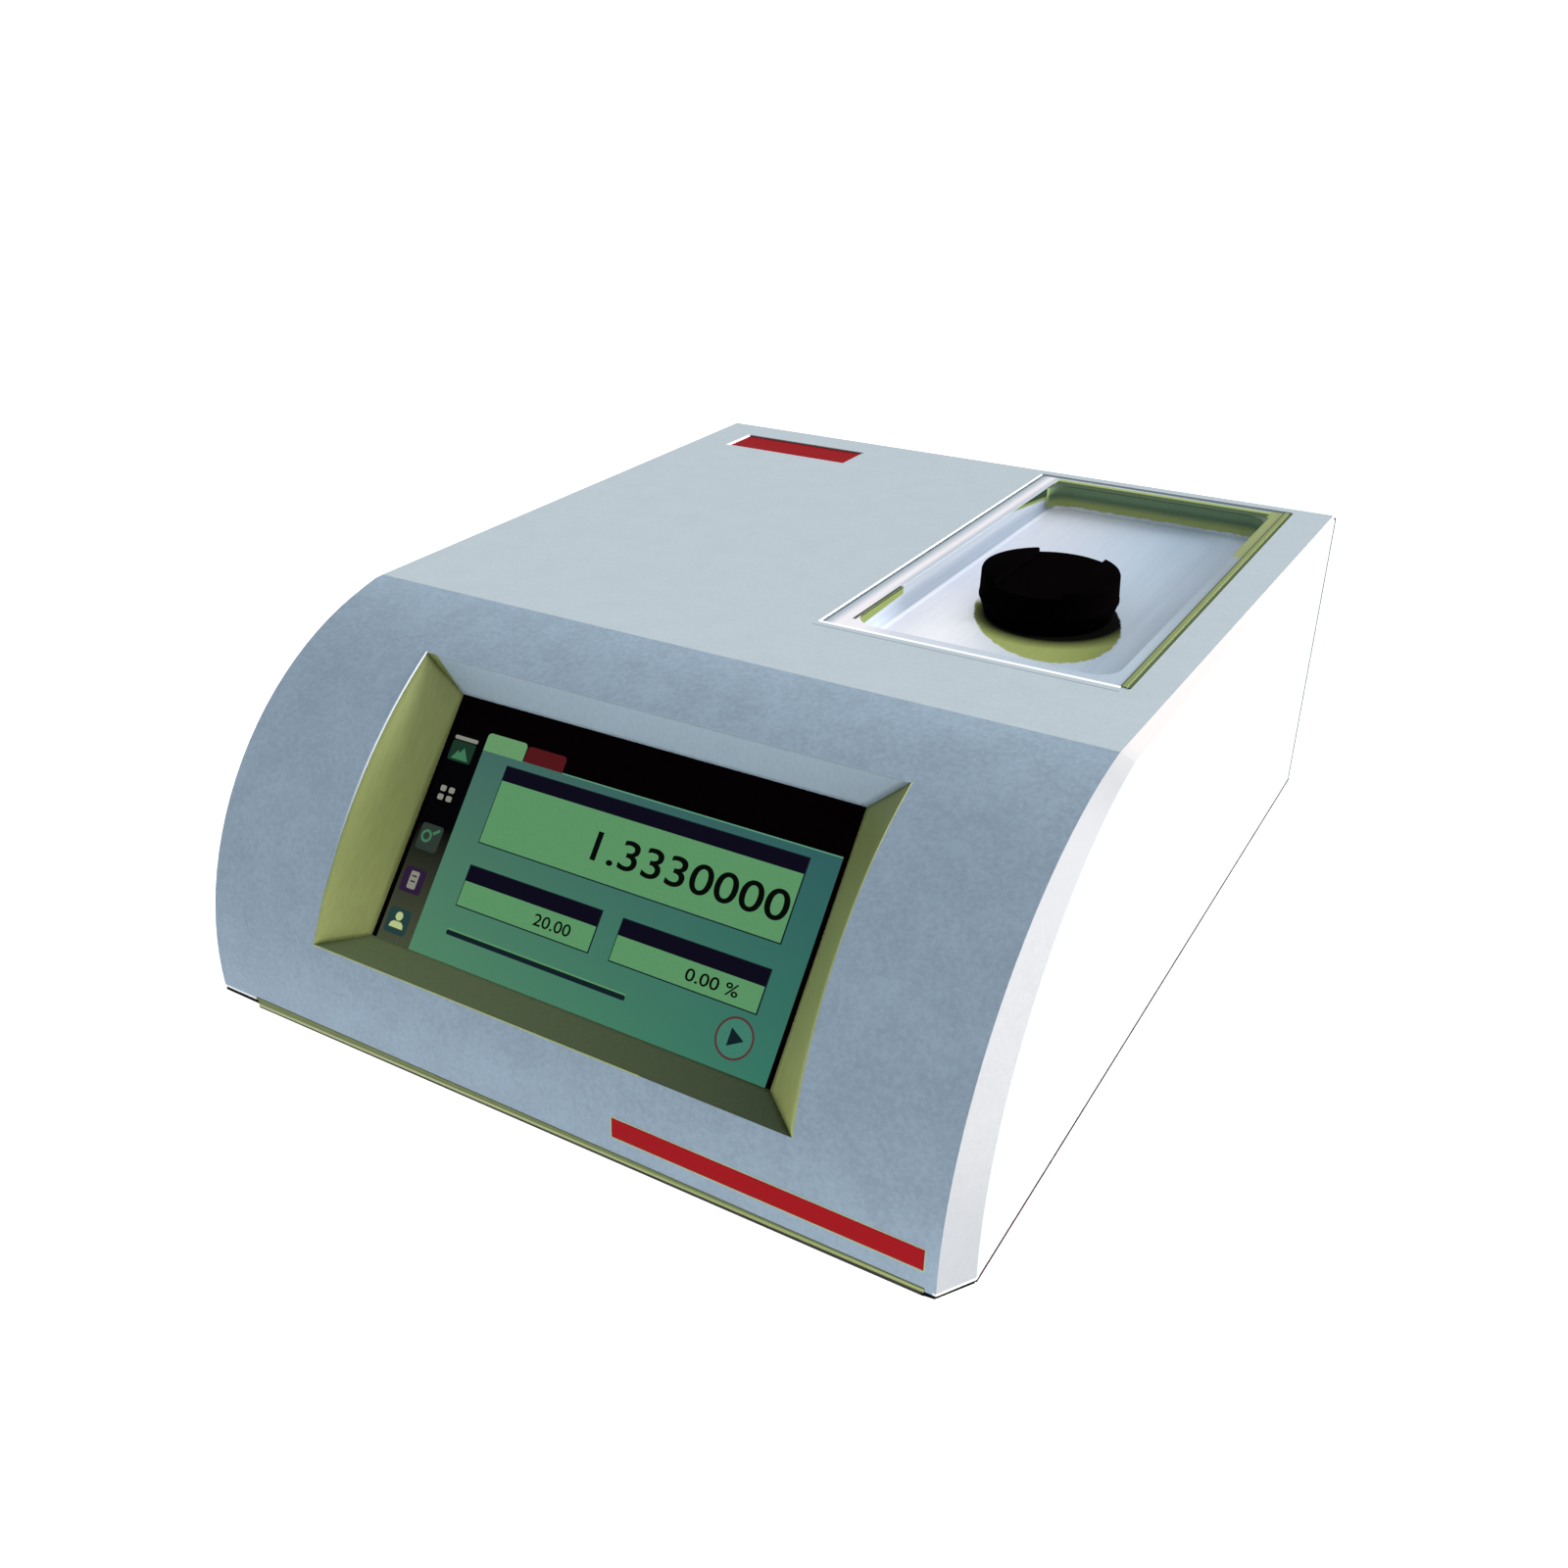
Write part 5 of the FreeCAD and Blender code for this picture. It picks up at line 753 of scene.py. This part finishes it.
def glow(name, colour, gloss=0.25):
    """A lit area under the cover glass, with a trace of pixel grain."""
    g = Graph(name)
    grain = g.noise(2200.0, 2.0)
    g.set("Base Color", (0.0004, 0.0004, 0.0004, 1.0))
    g.set("Emission Color", g.blend(g.spread(grain, 0.0, 1.0), shade(colour, 0.93), shade(colour, 1.07)))
    g.set("Emission Strength", 1.0)
    g.set("Roughness", gloss)
    g.set("Specular IOR Level", 0.004)
    return g


def content_glow():
    """The teal ground of the display, greener and lighter towards the lower left."""
    g = glow("display_ground", (0.05, 0.12, 0.10))
    x, y, _ = g.axes()
    across = g.spread(x, 0.0, 1.0, -HALF_W, HALF_W)
    down = g.spread(y, 1.0, 0.0, -HALF_H, HALF_H)
    upper = g.blend(across, srgb(62, 95, 93), srgb(44, 86, 92))
    lower = g.blend(across, srgb(82, 132, 100), srgb(54, 116, 98))
    g.set("Emission Color", g.blend(down, upper, lower))
    return g


def column_glow():
    g = glow("display_column", (0.0, 0.0, 0.0))
    _, y, _ = g.axes()
    down = g.spread(y, 1.0, 0.0, -HALF_H, -HALF_H * 0.05)
    g.set("Emission Color", g.blend(down, srgb(3, 3, 5), srgb(70, 76, 58)))
    return g


GLOW = {
    "ground": content_glow(),
    "column": column_glow(),
    "black": glow("display_black", srgb(3, 0, 1)),
    "navy": glow("display_navy", srgb(13, 11, 26)),
    "field": glow("display_field", srgb(90, 145, 99)),
    "tab": glow("display_tab", srgb(100, 148, 102)),
    "red": glow("display_red", srgb(80, 22, 26)),
    "text": glow("display_text", srgb(6, 10, 6)),
    "edge": glow("display_edge", srgb(92, 150, 120)),
    "dark_line": glow("display_dark_line", srgb(17, 32, 38)),
    "ring": glow("display_ring", srgb(86, 52, 54)),
    "button": glow("display_button", srgb(62, 122, 104)),
    "grey": glow("display_grey", srgb(46, 56, 50)),
    "pale": glow("display_pale", srgb(132, 134, 122)),
    "cream": glow("display_cream", srgb(178, 192, 134)),
    "green_dark": glow("display_green_dark", srgb(26, 52, 38)),
    "green_light": glow("display_green_light", srgb(62, 116, 84)),
    "purple": glow("display_purple", srgb(44, 28, 56)),
    "slate": glow("display_slate", srgb(36, 62, 62)),
}


def at(x, y):
    return x * MM - HALF_W, HALF_H - y * MM


def lit(name, colour, level, outline):
    low = (LIT_FOOT + level * LEVEL_STEP) * MM
    mesh = plate_mesh(name, outline, low, low + LIT_THICKNESS * MM)
    piece(name, mesh, GLOW[colour], SCREEN)


def shape(name, colour, level, *corners):
    lit(name, colour, level, [at(x, y) for x, y in corners])


def disc(name, colour, level, x, y, radius, steps):
    lit(name, colour, level, disc_outline(*at(x, y), radius * MM, steps))


def ring(name, colour, x, y, outer, inner):
    mesh = ring_mesh(name, *at(x, y), outer * MM, inner * MM, RING_LOW * MM, RING_HIGH * MM)
    piece(name, mesh, GLOW[colour], SCREEN)


def area(name, colour, level, x0, x1, y0, y1, radius=0.0):
    """A lit rectangle, perhaps with round corners."""
    if radius:
        (left, top), (right, bottom) = at(x0, y0), at(x1, y1)
        lit(name, colour, level, rounded_outline(left, right, bottom, top, radius * MM))
    else:
        shape(name, colour, level, (x0, y1), (x1, y1), (x1, y0), (x0, y0))


def figures(name, text, right, base, height, width_share):
    """Plain figures, set flush right on a base line, with their height in mm."""
    font = bpy.data.curves.new(name, "FONT")
    font.body = text
    font.size = height * MM / FIGURE_SHARE
    font.offset = FIGURE_WEIGHT * height * MM
    font.extrude = FIGURE_THICKNESS * MM
    holder = bpy.data.objects.new(name + "_font", font)
    mesh = bpy.data.meshes.new_from_object(holder)
    bpy.data.objects.remove(holder)
    edge = max(vertex.co.x for vertex in mesh.vertices)
    right_x, base_y = at(right, base)
    for vertex in mesh.vertices:
        vertex.co.x = right_x + (vertex.co.x - edge) * width_share
        vertex.co.y += base_y
        vertex.co.z += FIGURE_LIFT * MM
    mesh.name = name
    piece(name, mesh, GLOW["text"], SCREEN)


area("display_background", "black", 0, 0.0, 154.1, 0.0, 85.9)
area("display_column_edge", "black", 1, 0.0, 2.0, 16.0, 85.9)
area("display_ground", "ground", 1, 16.0, 152.2, 16.2, 85.9)
area("display_column", "column", 1, 2.0, 15.9, 13.0, 85.9)
area("display_ground_edge", "edge", 2, 49.1, 152.2, 16.1, 16.5)
shape("display_tab_green", "tab", 2, (16.0, 16.4), (32.6, 16.4), (32.6, 11.4), (32.2, 10.6),
      (31.4, 10.2), (17.2, 10.2), (16.4, 10.6), (16.0, 11.4))
shape("display_tab_red", "red", 2, (33.0, 16.2), (49.0, 16.2), (49.0, 12.0), (48.6, 11.2),
      (47.8, 10.8), (34.2, 10.8), (33.4, 11.2), (33.0, 12.0))
for name, x0, x1, y0, middle, y1 in (
    ("reading", 27.7, 142.0, 19.3, 24.2, 45.5),
    ("left_value", 28.0, 81.0, 53.6, 58.8, 67.0),
    ("right_value", 89.2, 142.0, 53.7, 58.9, 67.0),
):
    area("display_" + name + "_shadow", "dark_line", 2, x0 - 0.3, x1 + 0.4, y0 - 0.3, y1 + 0.4)
    area("display_" + name + "_header", "navy", 3, x0, x1, y0, middle)
    area("display_" + name + "_field", "field", 3, x0, x1 - 0.1, middle, y1)
figures("display_reading", "1.3330000", 141.0, 39.6, 9.6, 1.33)
figures("display_left_value", "20.00", 72.6, 64.8, 3.9, 1.22)
figures("display_right_value", "0.00 %", 134.4, 64.8, 3.9, 1.3)
area("display_slider_light", "field", 2, 28.0, 99.0, 74.9, 75.4)
area("display_slider", "dark_line", 3, 28.0, 99.0, 75.4, 77.0, 0.6)
disc("display_button", "button", 2, 138.0, 75.8, 6.2, 56)
ring("display_button_ring", "ring", 138.0, 75.8, 6.4, 5.7)
shape("display_button_mark", "dark_line", 4, (136.2, 73.0), (136.2, 78.6), (141.2, 75.8))

# Icons down the left column: plain shapes
area("icon_1_strip", "pale", 2, 3.2, 13.0, 13.9, 15.2, 0.5)
area("icon_1_tile", "green_dark", 2, 3.0, 12.8, 15.6, 22.6, 0.8)
shape("icon_1_hill", "green_light", 3, (4.4, 21.9), (11.6, 21.9), (8.6, 17.6), (7.2, 19.6), (6.4, 18.8))
for index, (x, y) in enumerate(((5.0, 31.4), (8.6, 31.4), (5.0, 34.4), (8.6, 34.4))):
    area("icon_2_square_%d" % index, "pale", 2, x, x + 2.4, y, y + 2.0, 0.6)
area("icon_3_tile", "grey", 2, 3.4, 12.6, 45.0, 54.0, 1.2)
ring("icon_3_ring", "green_light", 6.6, 49.2, 2.2, 1.3)
shape("icon_3_hand", "green_light", 4, (8.6, 47.6), (9.4, 48.4), (11.6, 46.6), (11.0, 45.9))
area("icon_4_tile", "purple", 2, 3.4, 12.4, 60.2, 68.8, 1.0)
area("icon_4_page", "pale", 3, 6.2, 9.8, 61.4, 67.4, 0.6)
area("icon_4_line_1", "purple", 4, 7.0, 9.0, 62.8, 63.3)
area("icon_4_line_2", "purple", 4, 7.0, 9.0, 64.6, 65.1)
area("icon_5_tile", "slate", 2, 3.4, 12.6, 74.4, 83.0, 1.2)
disc("icon_5_head", "cream", 3, 8.0, 77.0, 1.5, 24)
shape("icon_5_shoulders", "cream", 3, (5.0, 81.0), (11.0, 81.0), (10.6, 79.6), (9.6, 78.8), (6.4, 78.8),
      (5.4, 79.6))


# Tray: painted highlights on the edges of its pocket, dark beads of painted shade in the gap and in front of
# it, and the folded border on the right in olive painted shade, in mm

LEFT, RIGHT, FRONT, REAR = 19.0, 129.0, -32.0, 170.0
TOP = 128.5
RIM = 128.0


def strip(name, start, end, width, low, high, graph):
    """A flat bar with eased upper edges along a straight line, in mm."""
    way = Vector((end[0] - start[0], end[1] - start[1], 0)) * MM
    half, low, high = width / 2 * MM, low * MM, high * MM
    across = Vector((-way.y, way.x, 0)).normalized()
    ease = min(half * 0.6, (high - low) * 0.6)
    profile = [(-half, low), (-half, high - ease), (-half + ease, high),
               (half - ease, high), (half, high - ease), (half, low)]
    bm = bmesh.new()
    foot = Vector((*start, 0)) * MM
    near, far = ([bm.verts.new(base + across * u + Vector((0, 0, w))) for u, w in profile]
                 for base in (foot, foot + way))
    for index in range(len(profile)):
        after = (index + 1) % len(profile)
        bm.faces.new([near[index], near[after], far[after], far[index]])
    bm.faces.new(list(reversed(near)))
    bm.faces.new(far)
    piece(name, to_mesh(bm, name), graph)


def strip_y(name, x, y0, y1, width, low, high, graph, slot):
    strip(name, (x, y0), (x, y1), width, low, high, graph)


def strip_x(name, y, x0, x1, width, low, high, graph, slot):
    strip(name, (x0, y), (x1, y), width, low, high, graph)


# Painted shade in the gap round the tray and on its folded border
GAP_SHADE_GREY = finish("gap_shade_grey", srgb(92, 106, 116), 0.7, tone=0.1, bump=0.1, specular=0.1)
GAP_SHADE_OLIVE = finish("gap_shade_olive", srgb(84, 98, 54), 0.7, tone=0.1, bump=0.1, specular=0.1)
GAP_SHADE_BLUE = finish("gap_shade_blue", srgb(129, 144, 156), 0.6)
BORDER_SHADE_OLIVE = finish("border_shade_olive", srgb(122, 136, 78), 0.4, 0.1, tone=0.08, bump=0.08,
                      stretch=(1.0, 0.1, 1.0), specular=0.3)
CREASE_SHADE_OLIVE = finish("crease_shade_olive", srgb(84, 98, 52), 0.5, tone=0.1)
# Painted highlights on the pocket's edges, then dark beads of painted shade in the gap
strip_y("pocket_edge_highlight_left", LEFT - 0.3, FRONT, REAR, 1.8, RIM, TOP - 0.02, WHITE_HIGHLIGHT, "housing_paint")
strip_x("pocket_edge_highlight_front", FRONT + 0.3, LEFT + 1.0, RIGHT - 3.4, 3.2, RIM - 0.1, TOP - 0.02,
        WHITE_HIGHLIGHT, "housing_paint")
strip_y("pocket_edge_highlight_right", RIGHT + 0.25, FRONT, REAR, 0.5, RIM, TOP - 0.02, WHITE_HIGHLIGHT, "housing_paint")
strip_y("tray_gap_shade_left", LEFT + 1.3, FRONT + 2, REAR - 1, 1.3, RIM - 1.2, RIM + 0.12,
        GAP_SHADE_GREY, "black_rubber")
strip_y("tray_gap_shade_right", RIGHT - 0.7, FRONT + 2, REAR - 1, 1.5, RIM - 1.2, RIM + 0.3,
        GAP_SHADE_OLIVE, "black_rubber")
strip_x("tray_gap_shade_front", FRONT - 2.6, LEFT - 0.5, RIGHT - 2.5, 1.1, RIM - 0.1, TOP + 0.03,
        GAP_SHADE_BLUE, "black_rubber")
strip_y("tray_border_right", RIGHT - 2.4, FRONT + 2, REAR - 1.2, 1.9, RIM, RIM + 0.45,
        BORDER_SHADE_OLIVE, "tray_steel")
strip_y("tray_crease_shade_right", RIGHT - 3.6, FRONT + 2, REAR - 1.2, 0.5, RIM, RIM + 0.06,
        CREASE_SHADE_OLIVE, "tray_steel")


# Lid: a cap that narrows to its foot, with a broad finger channel across its top

LID_X, LID_Y = 75.0 * MM, 38.0 * MM
LID_TOP = 135.6 * MM
LID_OUTER = 24.55 * MM
CHANNEL_Z = LID_TOP - 2.0 * MM
CHANNEL_HALF = 12.6 * MM
# Half section up to the channel's floor, as radius and height in mm
LID_SECTION = ((0.0, 129.5), (20.5, 129.5), (20.5, 118.8), (22.2, 118.8), (22.7, 119.3), (24.75, 125.2),
               (25.0, 125.6), (25.0, 126.3), (24.8, 126.7), (24.55, CHANNEL_Z / MM), (0.0, CHANNEL_Z / MM))
# The ridge on each side of the channel, as heights and insets
RIDGE_LAYERS = ((CHANNEL_Z - 0.4 * MM, 0.3 * MM), (CHANNEL_Z, 0.0), (LID_TOP - 0.9 * MM, 0.04 * MM),
                (LID_TOP - 0.25 * MM, 0.3 * MM), (LID_TOP, 0.95 * MM))
RIDGE_STEPS = 48


def lid_mesh(steps=96):
    bm = bmesh.new()
    rings = []
    for radius, height in LID_SECTION:
        if radius == 0.0:
            rings.append([bm.verts.new((LID_X, LID_Y, height * MM))])
        else:
            rings.append([bm.verts.new((*place, height * MM))
                          for place in disc_outline(LID_X, LID_Y, radius * MM, steps)])
    for near, far in zip(rings, rings[1:]):
        for i in range(steps):
            k = i + 1
            corners = [near[i % len(near)], near[k % len(near)], far[k % len(far)], far[i % len(far)]]
            bm.faces.new(list(dict.fromkeys(corners)))
    for sign in (1, -1):
        layers = []
        for height, inset in RIDGE_LAYERS:
            radius = LID_OUTER - inset
            half = math.acos((CHANNEL_HALF + inset) / radius)
            angles = [-half + 2 * half * i / RIDGE_STEPS for i in range(RIDGE_STEPS + 1)]
            layers.append([bm.verts.new((LID_X + sign * radius * math.cos(angle),
                                         LID_Y + radius * math.sin(angle), height)) for angle in angles])
        bm.faces.new(layers[0])
        bm.faces.new(layers[-1])
        for low, high in zip(layers, layers[1:]):
            for i in range(len(low)):
                k = (i + 1) % len(low)
                bm.faces.new([low[i], low[k], high[k], high[i]])
    mesh = to_mesh(bm, "lid_shell")
    mesh.shade_smooth()
    mesh.set_sharp_from_angle(angle=math.radians(28.0))
    return mesh


lid_shell = piece("lid_shell", lid_mesh(), MATERIALS["black_cap"], None, "lid")
lid_shell.visible_shadow = False
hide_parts("lid_cap")


# Plates: painted highlights on the near edges and painted shade on the far edge round the top plate, a pale
# line round the front strip

PLATE_LEFT, PLATE_RIGHT, PLATE_FRONT, PLATE_REAR = -125.6, -64.9, 139.6, 158.0
PLATE_HEIGHTS = (TOP - 0.4, TOP + 0.02)
SOFT_HIGHLIGHT = finish("soft_highlight", (0.52, 0.58, 0.62), 0.4, tone=0.03)
EDGE_SHADOW = finish("edge_shadow", (0.05, 0.03, 0.03), 0.6, tone=0.1)
strip_y("top_plate_highlight_left", PLATE_LEFT - 0.9, PLATE_FRONT - 0.9, PLATE_REAR + 1, 1.8, *PLATE_HEIGHTS,
        WHITE_HIGHLIGHT, "housing_paint")
strip_x("top_plate_highlight_front", PLATE_FRONT - 0.5, PLATE_LEFT, PLATE_RIGHT, 1.0, *PLATE_HEIGHTS,
        SOFT_HIGHLIGHT, "housing_paint")
strip_x("top_plate_shade_back", PLATE_REAR + 0.7, PLATE_LEFT, PLATE_RIGHT + 0.6, 1.5, *PLATE_HEIGHTS,
        EDGE_SHADOW, "housing_paint")

# The front strip's own edges, the line's distance outside them and its depth in the housing, in mm
STRIP_X = (30.9, 133.9)
STRIP_Z = (15.6, 22.6)
LINE_OUT = 0.3
LINE_SUNK = 0.2
STRIP_LINE = finish("strip_line", srgb(176, 200, 158), 0.45, tone=0.05, bump=0.05, specular=0.2)


def front_point(x, z):
    """A point just under the curved front's face, from mm to metres."""
    reach = RADIUS - LINE_SUNK * MM
    return x * MM, ARC_Y - math.sqrt(reach ** 2 - (z * MM - ARC_Z) ** 2), z * MM


line_left, line_right = STRIP_X[0] - LINE_OUT, STRIP_X[1] + LINE_OUT
line_low, line_high = STRIP_Z[0] - LINE_OUT, STRIP_Z[1] + LINE_OUT
tube("front_strip_line", [front_point(line_left, line_low), front_point(line_right, line_low),
                          front_point(line_right, line_high), front_point(line_left, line_high)],
     0.34 * MM, STRIP_LINE, closed=True)


# Base: dark beads of painted shade under the housing's lower edge, in mm, and the lip's foot

def base_line(name, points, radius, graph):
    tube(name, [[value * MM for value in point] for point in points], radius * MM, graph)


# Painted shade: black and dark brown beads for the shadow gap under the housing
SHADE_LINE_BLACK = finish("shade_line_black", (0.006, 0.006, 0.006), 0.8, tone=0.2, bump=0.1, specular=0.05)
SEAM_SHADE = finish("seam_shade", (0.046, 0.010, 0.013), 0.9, tone=0.1, specular=0.01)
base_line("base_shade_line_left", ((-122.0, -174.3, 7.1), (-137.4, -174.3, 7.1), (-144.2, -163.8, 7.1)), 0.8,
          SHADE_LINE_BLACK)
base_line("base_shade_line_right", ((133.6, -174.3, 6.6), (137.4, -174.3, 7.1), (144.2, -163.8, 7.1)), 0.7,
          SHADE_LINE_BLACK)
for name, x in (("left", -144.7), ("right", 144.7)):
    base_line("base_shade_line_side_" + name, ((x, -163.6, 7.3), (x, 174.4, 7.3)), 0.55, SEAM_SHADE)
strip_x("lip_groove_shade_band", -174.5, -122.2, 134.4, 0.5, 7.52, 8.88, MATERIALS["base_steel"], "base_steel")


def foot_wedge(left, right, front, rear, low_left, low_right, high):
    """The lip's folded foot, in mm, deeper on the left than on the right, and black at its lower edge as a
    painted shadow line.
    """
    outline = [(x * MM, y * MM) for x, y in ((left, front), (right, front), (right, rear), (left, rear))]
    mesh = plate_mesh("lip_foot", outline, 0.0, high * MM)
    for vertex in mesh.vertices:
        if vertex.co.z < high / 2 * MM:
            vertex.co.z = (low_left if vertex.co.x < 0 else low_right) * MM
    return mesh


piece("lip_foot", foot_wedge(-122.0, 134.2, -174.75, -174.25, 4.7, 6.0, 6.12), MATERIALS["base_steel"])


# Camera, at the photograph's place

AZIMUTH, ELEVATION = 30.65, 28.25
CAMERA_PLACE = (0.24814, -0.44070, 0.31746)
FOCAL_LENGTH, SENSOR_WIDTH = 33.954, 36.0


def direction(azimuth, elevation):
    """The way out to a camera or a light. Azimuth 0 is in front, 90 is on the right, in degrees."""
    a, e = math.radians(azimuth), math.radians(elevation)
    return Vector((math.sin(a) * math.cos(e), -math.cos(a) * math.cos(e), math.sin(e)))


back = direction(AZIMUTH, ELEVATION)
right = Vector((math.cos(math.radians(AZIMUTH)), math.sin(math.radians(AZIMUTH)), 0.0))
up = back.cross(right)
lens = bpy.data.cameras.new("camera")
lens.sensor_width = SENSOR_WIDTH
lens.lens = FOCAL_LENGTH
lens.clip_start = 0.01
lens.clip_end = 200.0
camera = bpy.data.objects.new("camera", lens)
bpy.context.scene.collection.objects.link(camera)
turned = Matrix((right, up, back)).transposed().to_4x4()
camera.matrix_world = Matrix.Translation(CAMERA_PLACE) @ turned
bpy.context.scene.camera = camera


# Floor, world and lights

def floor_finish():
    g = finish("floor", (0.45, 0.45, 0.45), 0.9, tone=0.01, patch=4.0, grain=60.0, bump=0.0, specular=0.0)
    g.set("Emission Color", (1.0, 1.0, 1.0, 1.0))
    g.set("Emission Strength", 1.05)
    return g


floor_mesh = plate_mesh("floor", disc_outline(0, 0, 60.0, 96), -0.02, 0.0)
floor_mesh.materials.append(floor_finish().material)
floor = bpy.data.objects.new("floor", floor_mesh)
bpy.context.scene.collection.objects.link(floor)

world = bpy.data.worlds.new("studio")
world.use_nodes = True
bpy.context.scene.world = world
nodes = world.node_tree.nodes
links = world.node_tree.links
seen = nodes.new("ShaderNodeLightPath")
white = nodes.new("ShaderNodeBackground")
white.inputs["Color"].default_value = (1.0, 1.0, 1.0, 1.0)
white.inputs["Strength"].default_value = 1.0
soft = nodes["Background"]
soft.inputs["Color"].default_value = (0.98, 1.0, 1.02, 1.0)
soft.inputs["Strength"].default_value = 0.55
chosen = nodes.new("ShaderNodeMixShader")
links.new(seen.outputs["Is Camera Ray"], chosen.inputs[0])
links.new(soft.outputs[0], chosen.inputs[1])
links.new(white.outputs[0], chosen.inputs[2])
links.new(chosen.outputs[0], nodes["World Output"].inputs["Surface"])


def sun(name, azimuth, elevation, strength, angle, colour=(1.0, 1.0, 1.0)):
    """A soft far light."""
    light = bpy.data.lights.new(name, "SUN")
    light.energy = strength
    light.angle = math.radians(angle)
    light.color = colour
    obj = bpy.data.objects.new(name, light)
    bpy.context.scene.collection.objects.link(obj)
    obj.rotation_mode = "QUATERNION"
    obj.rotation_quaternion = direction(azimuth, elevation).to_track_quat("Z", "Y")


sun("overhead", 150.0, 62.0, 0.9, 40.0)
sun("side", 122.0, 18.0, 5.0, 20.0, (1.02, 1.0, 0.98))

bpy.context.scene.view_settings.view_transform = "Standard"
bpy.context.scene.view_settings.look = "None"
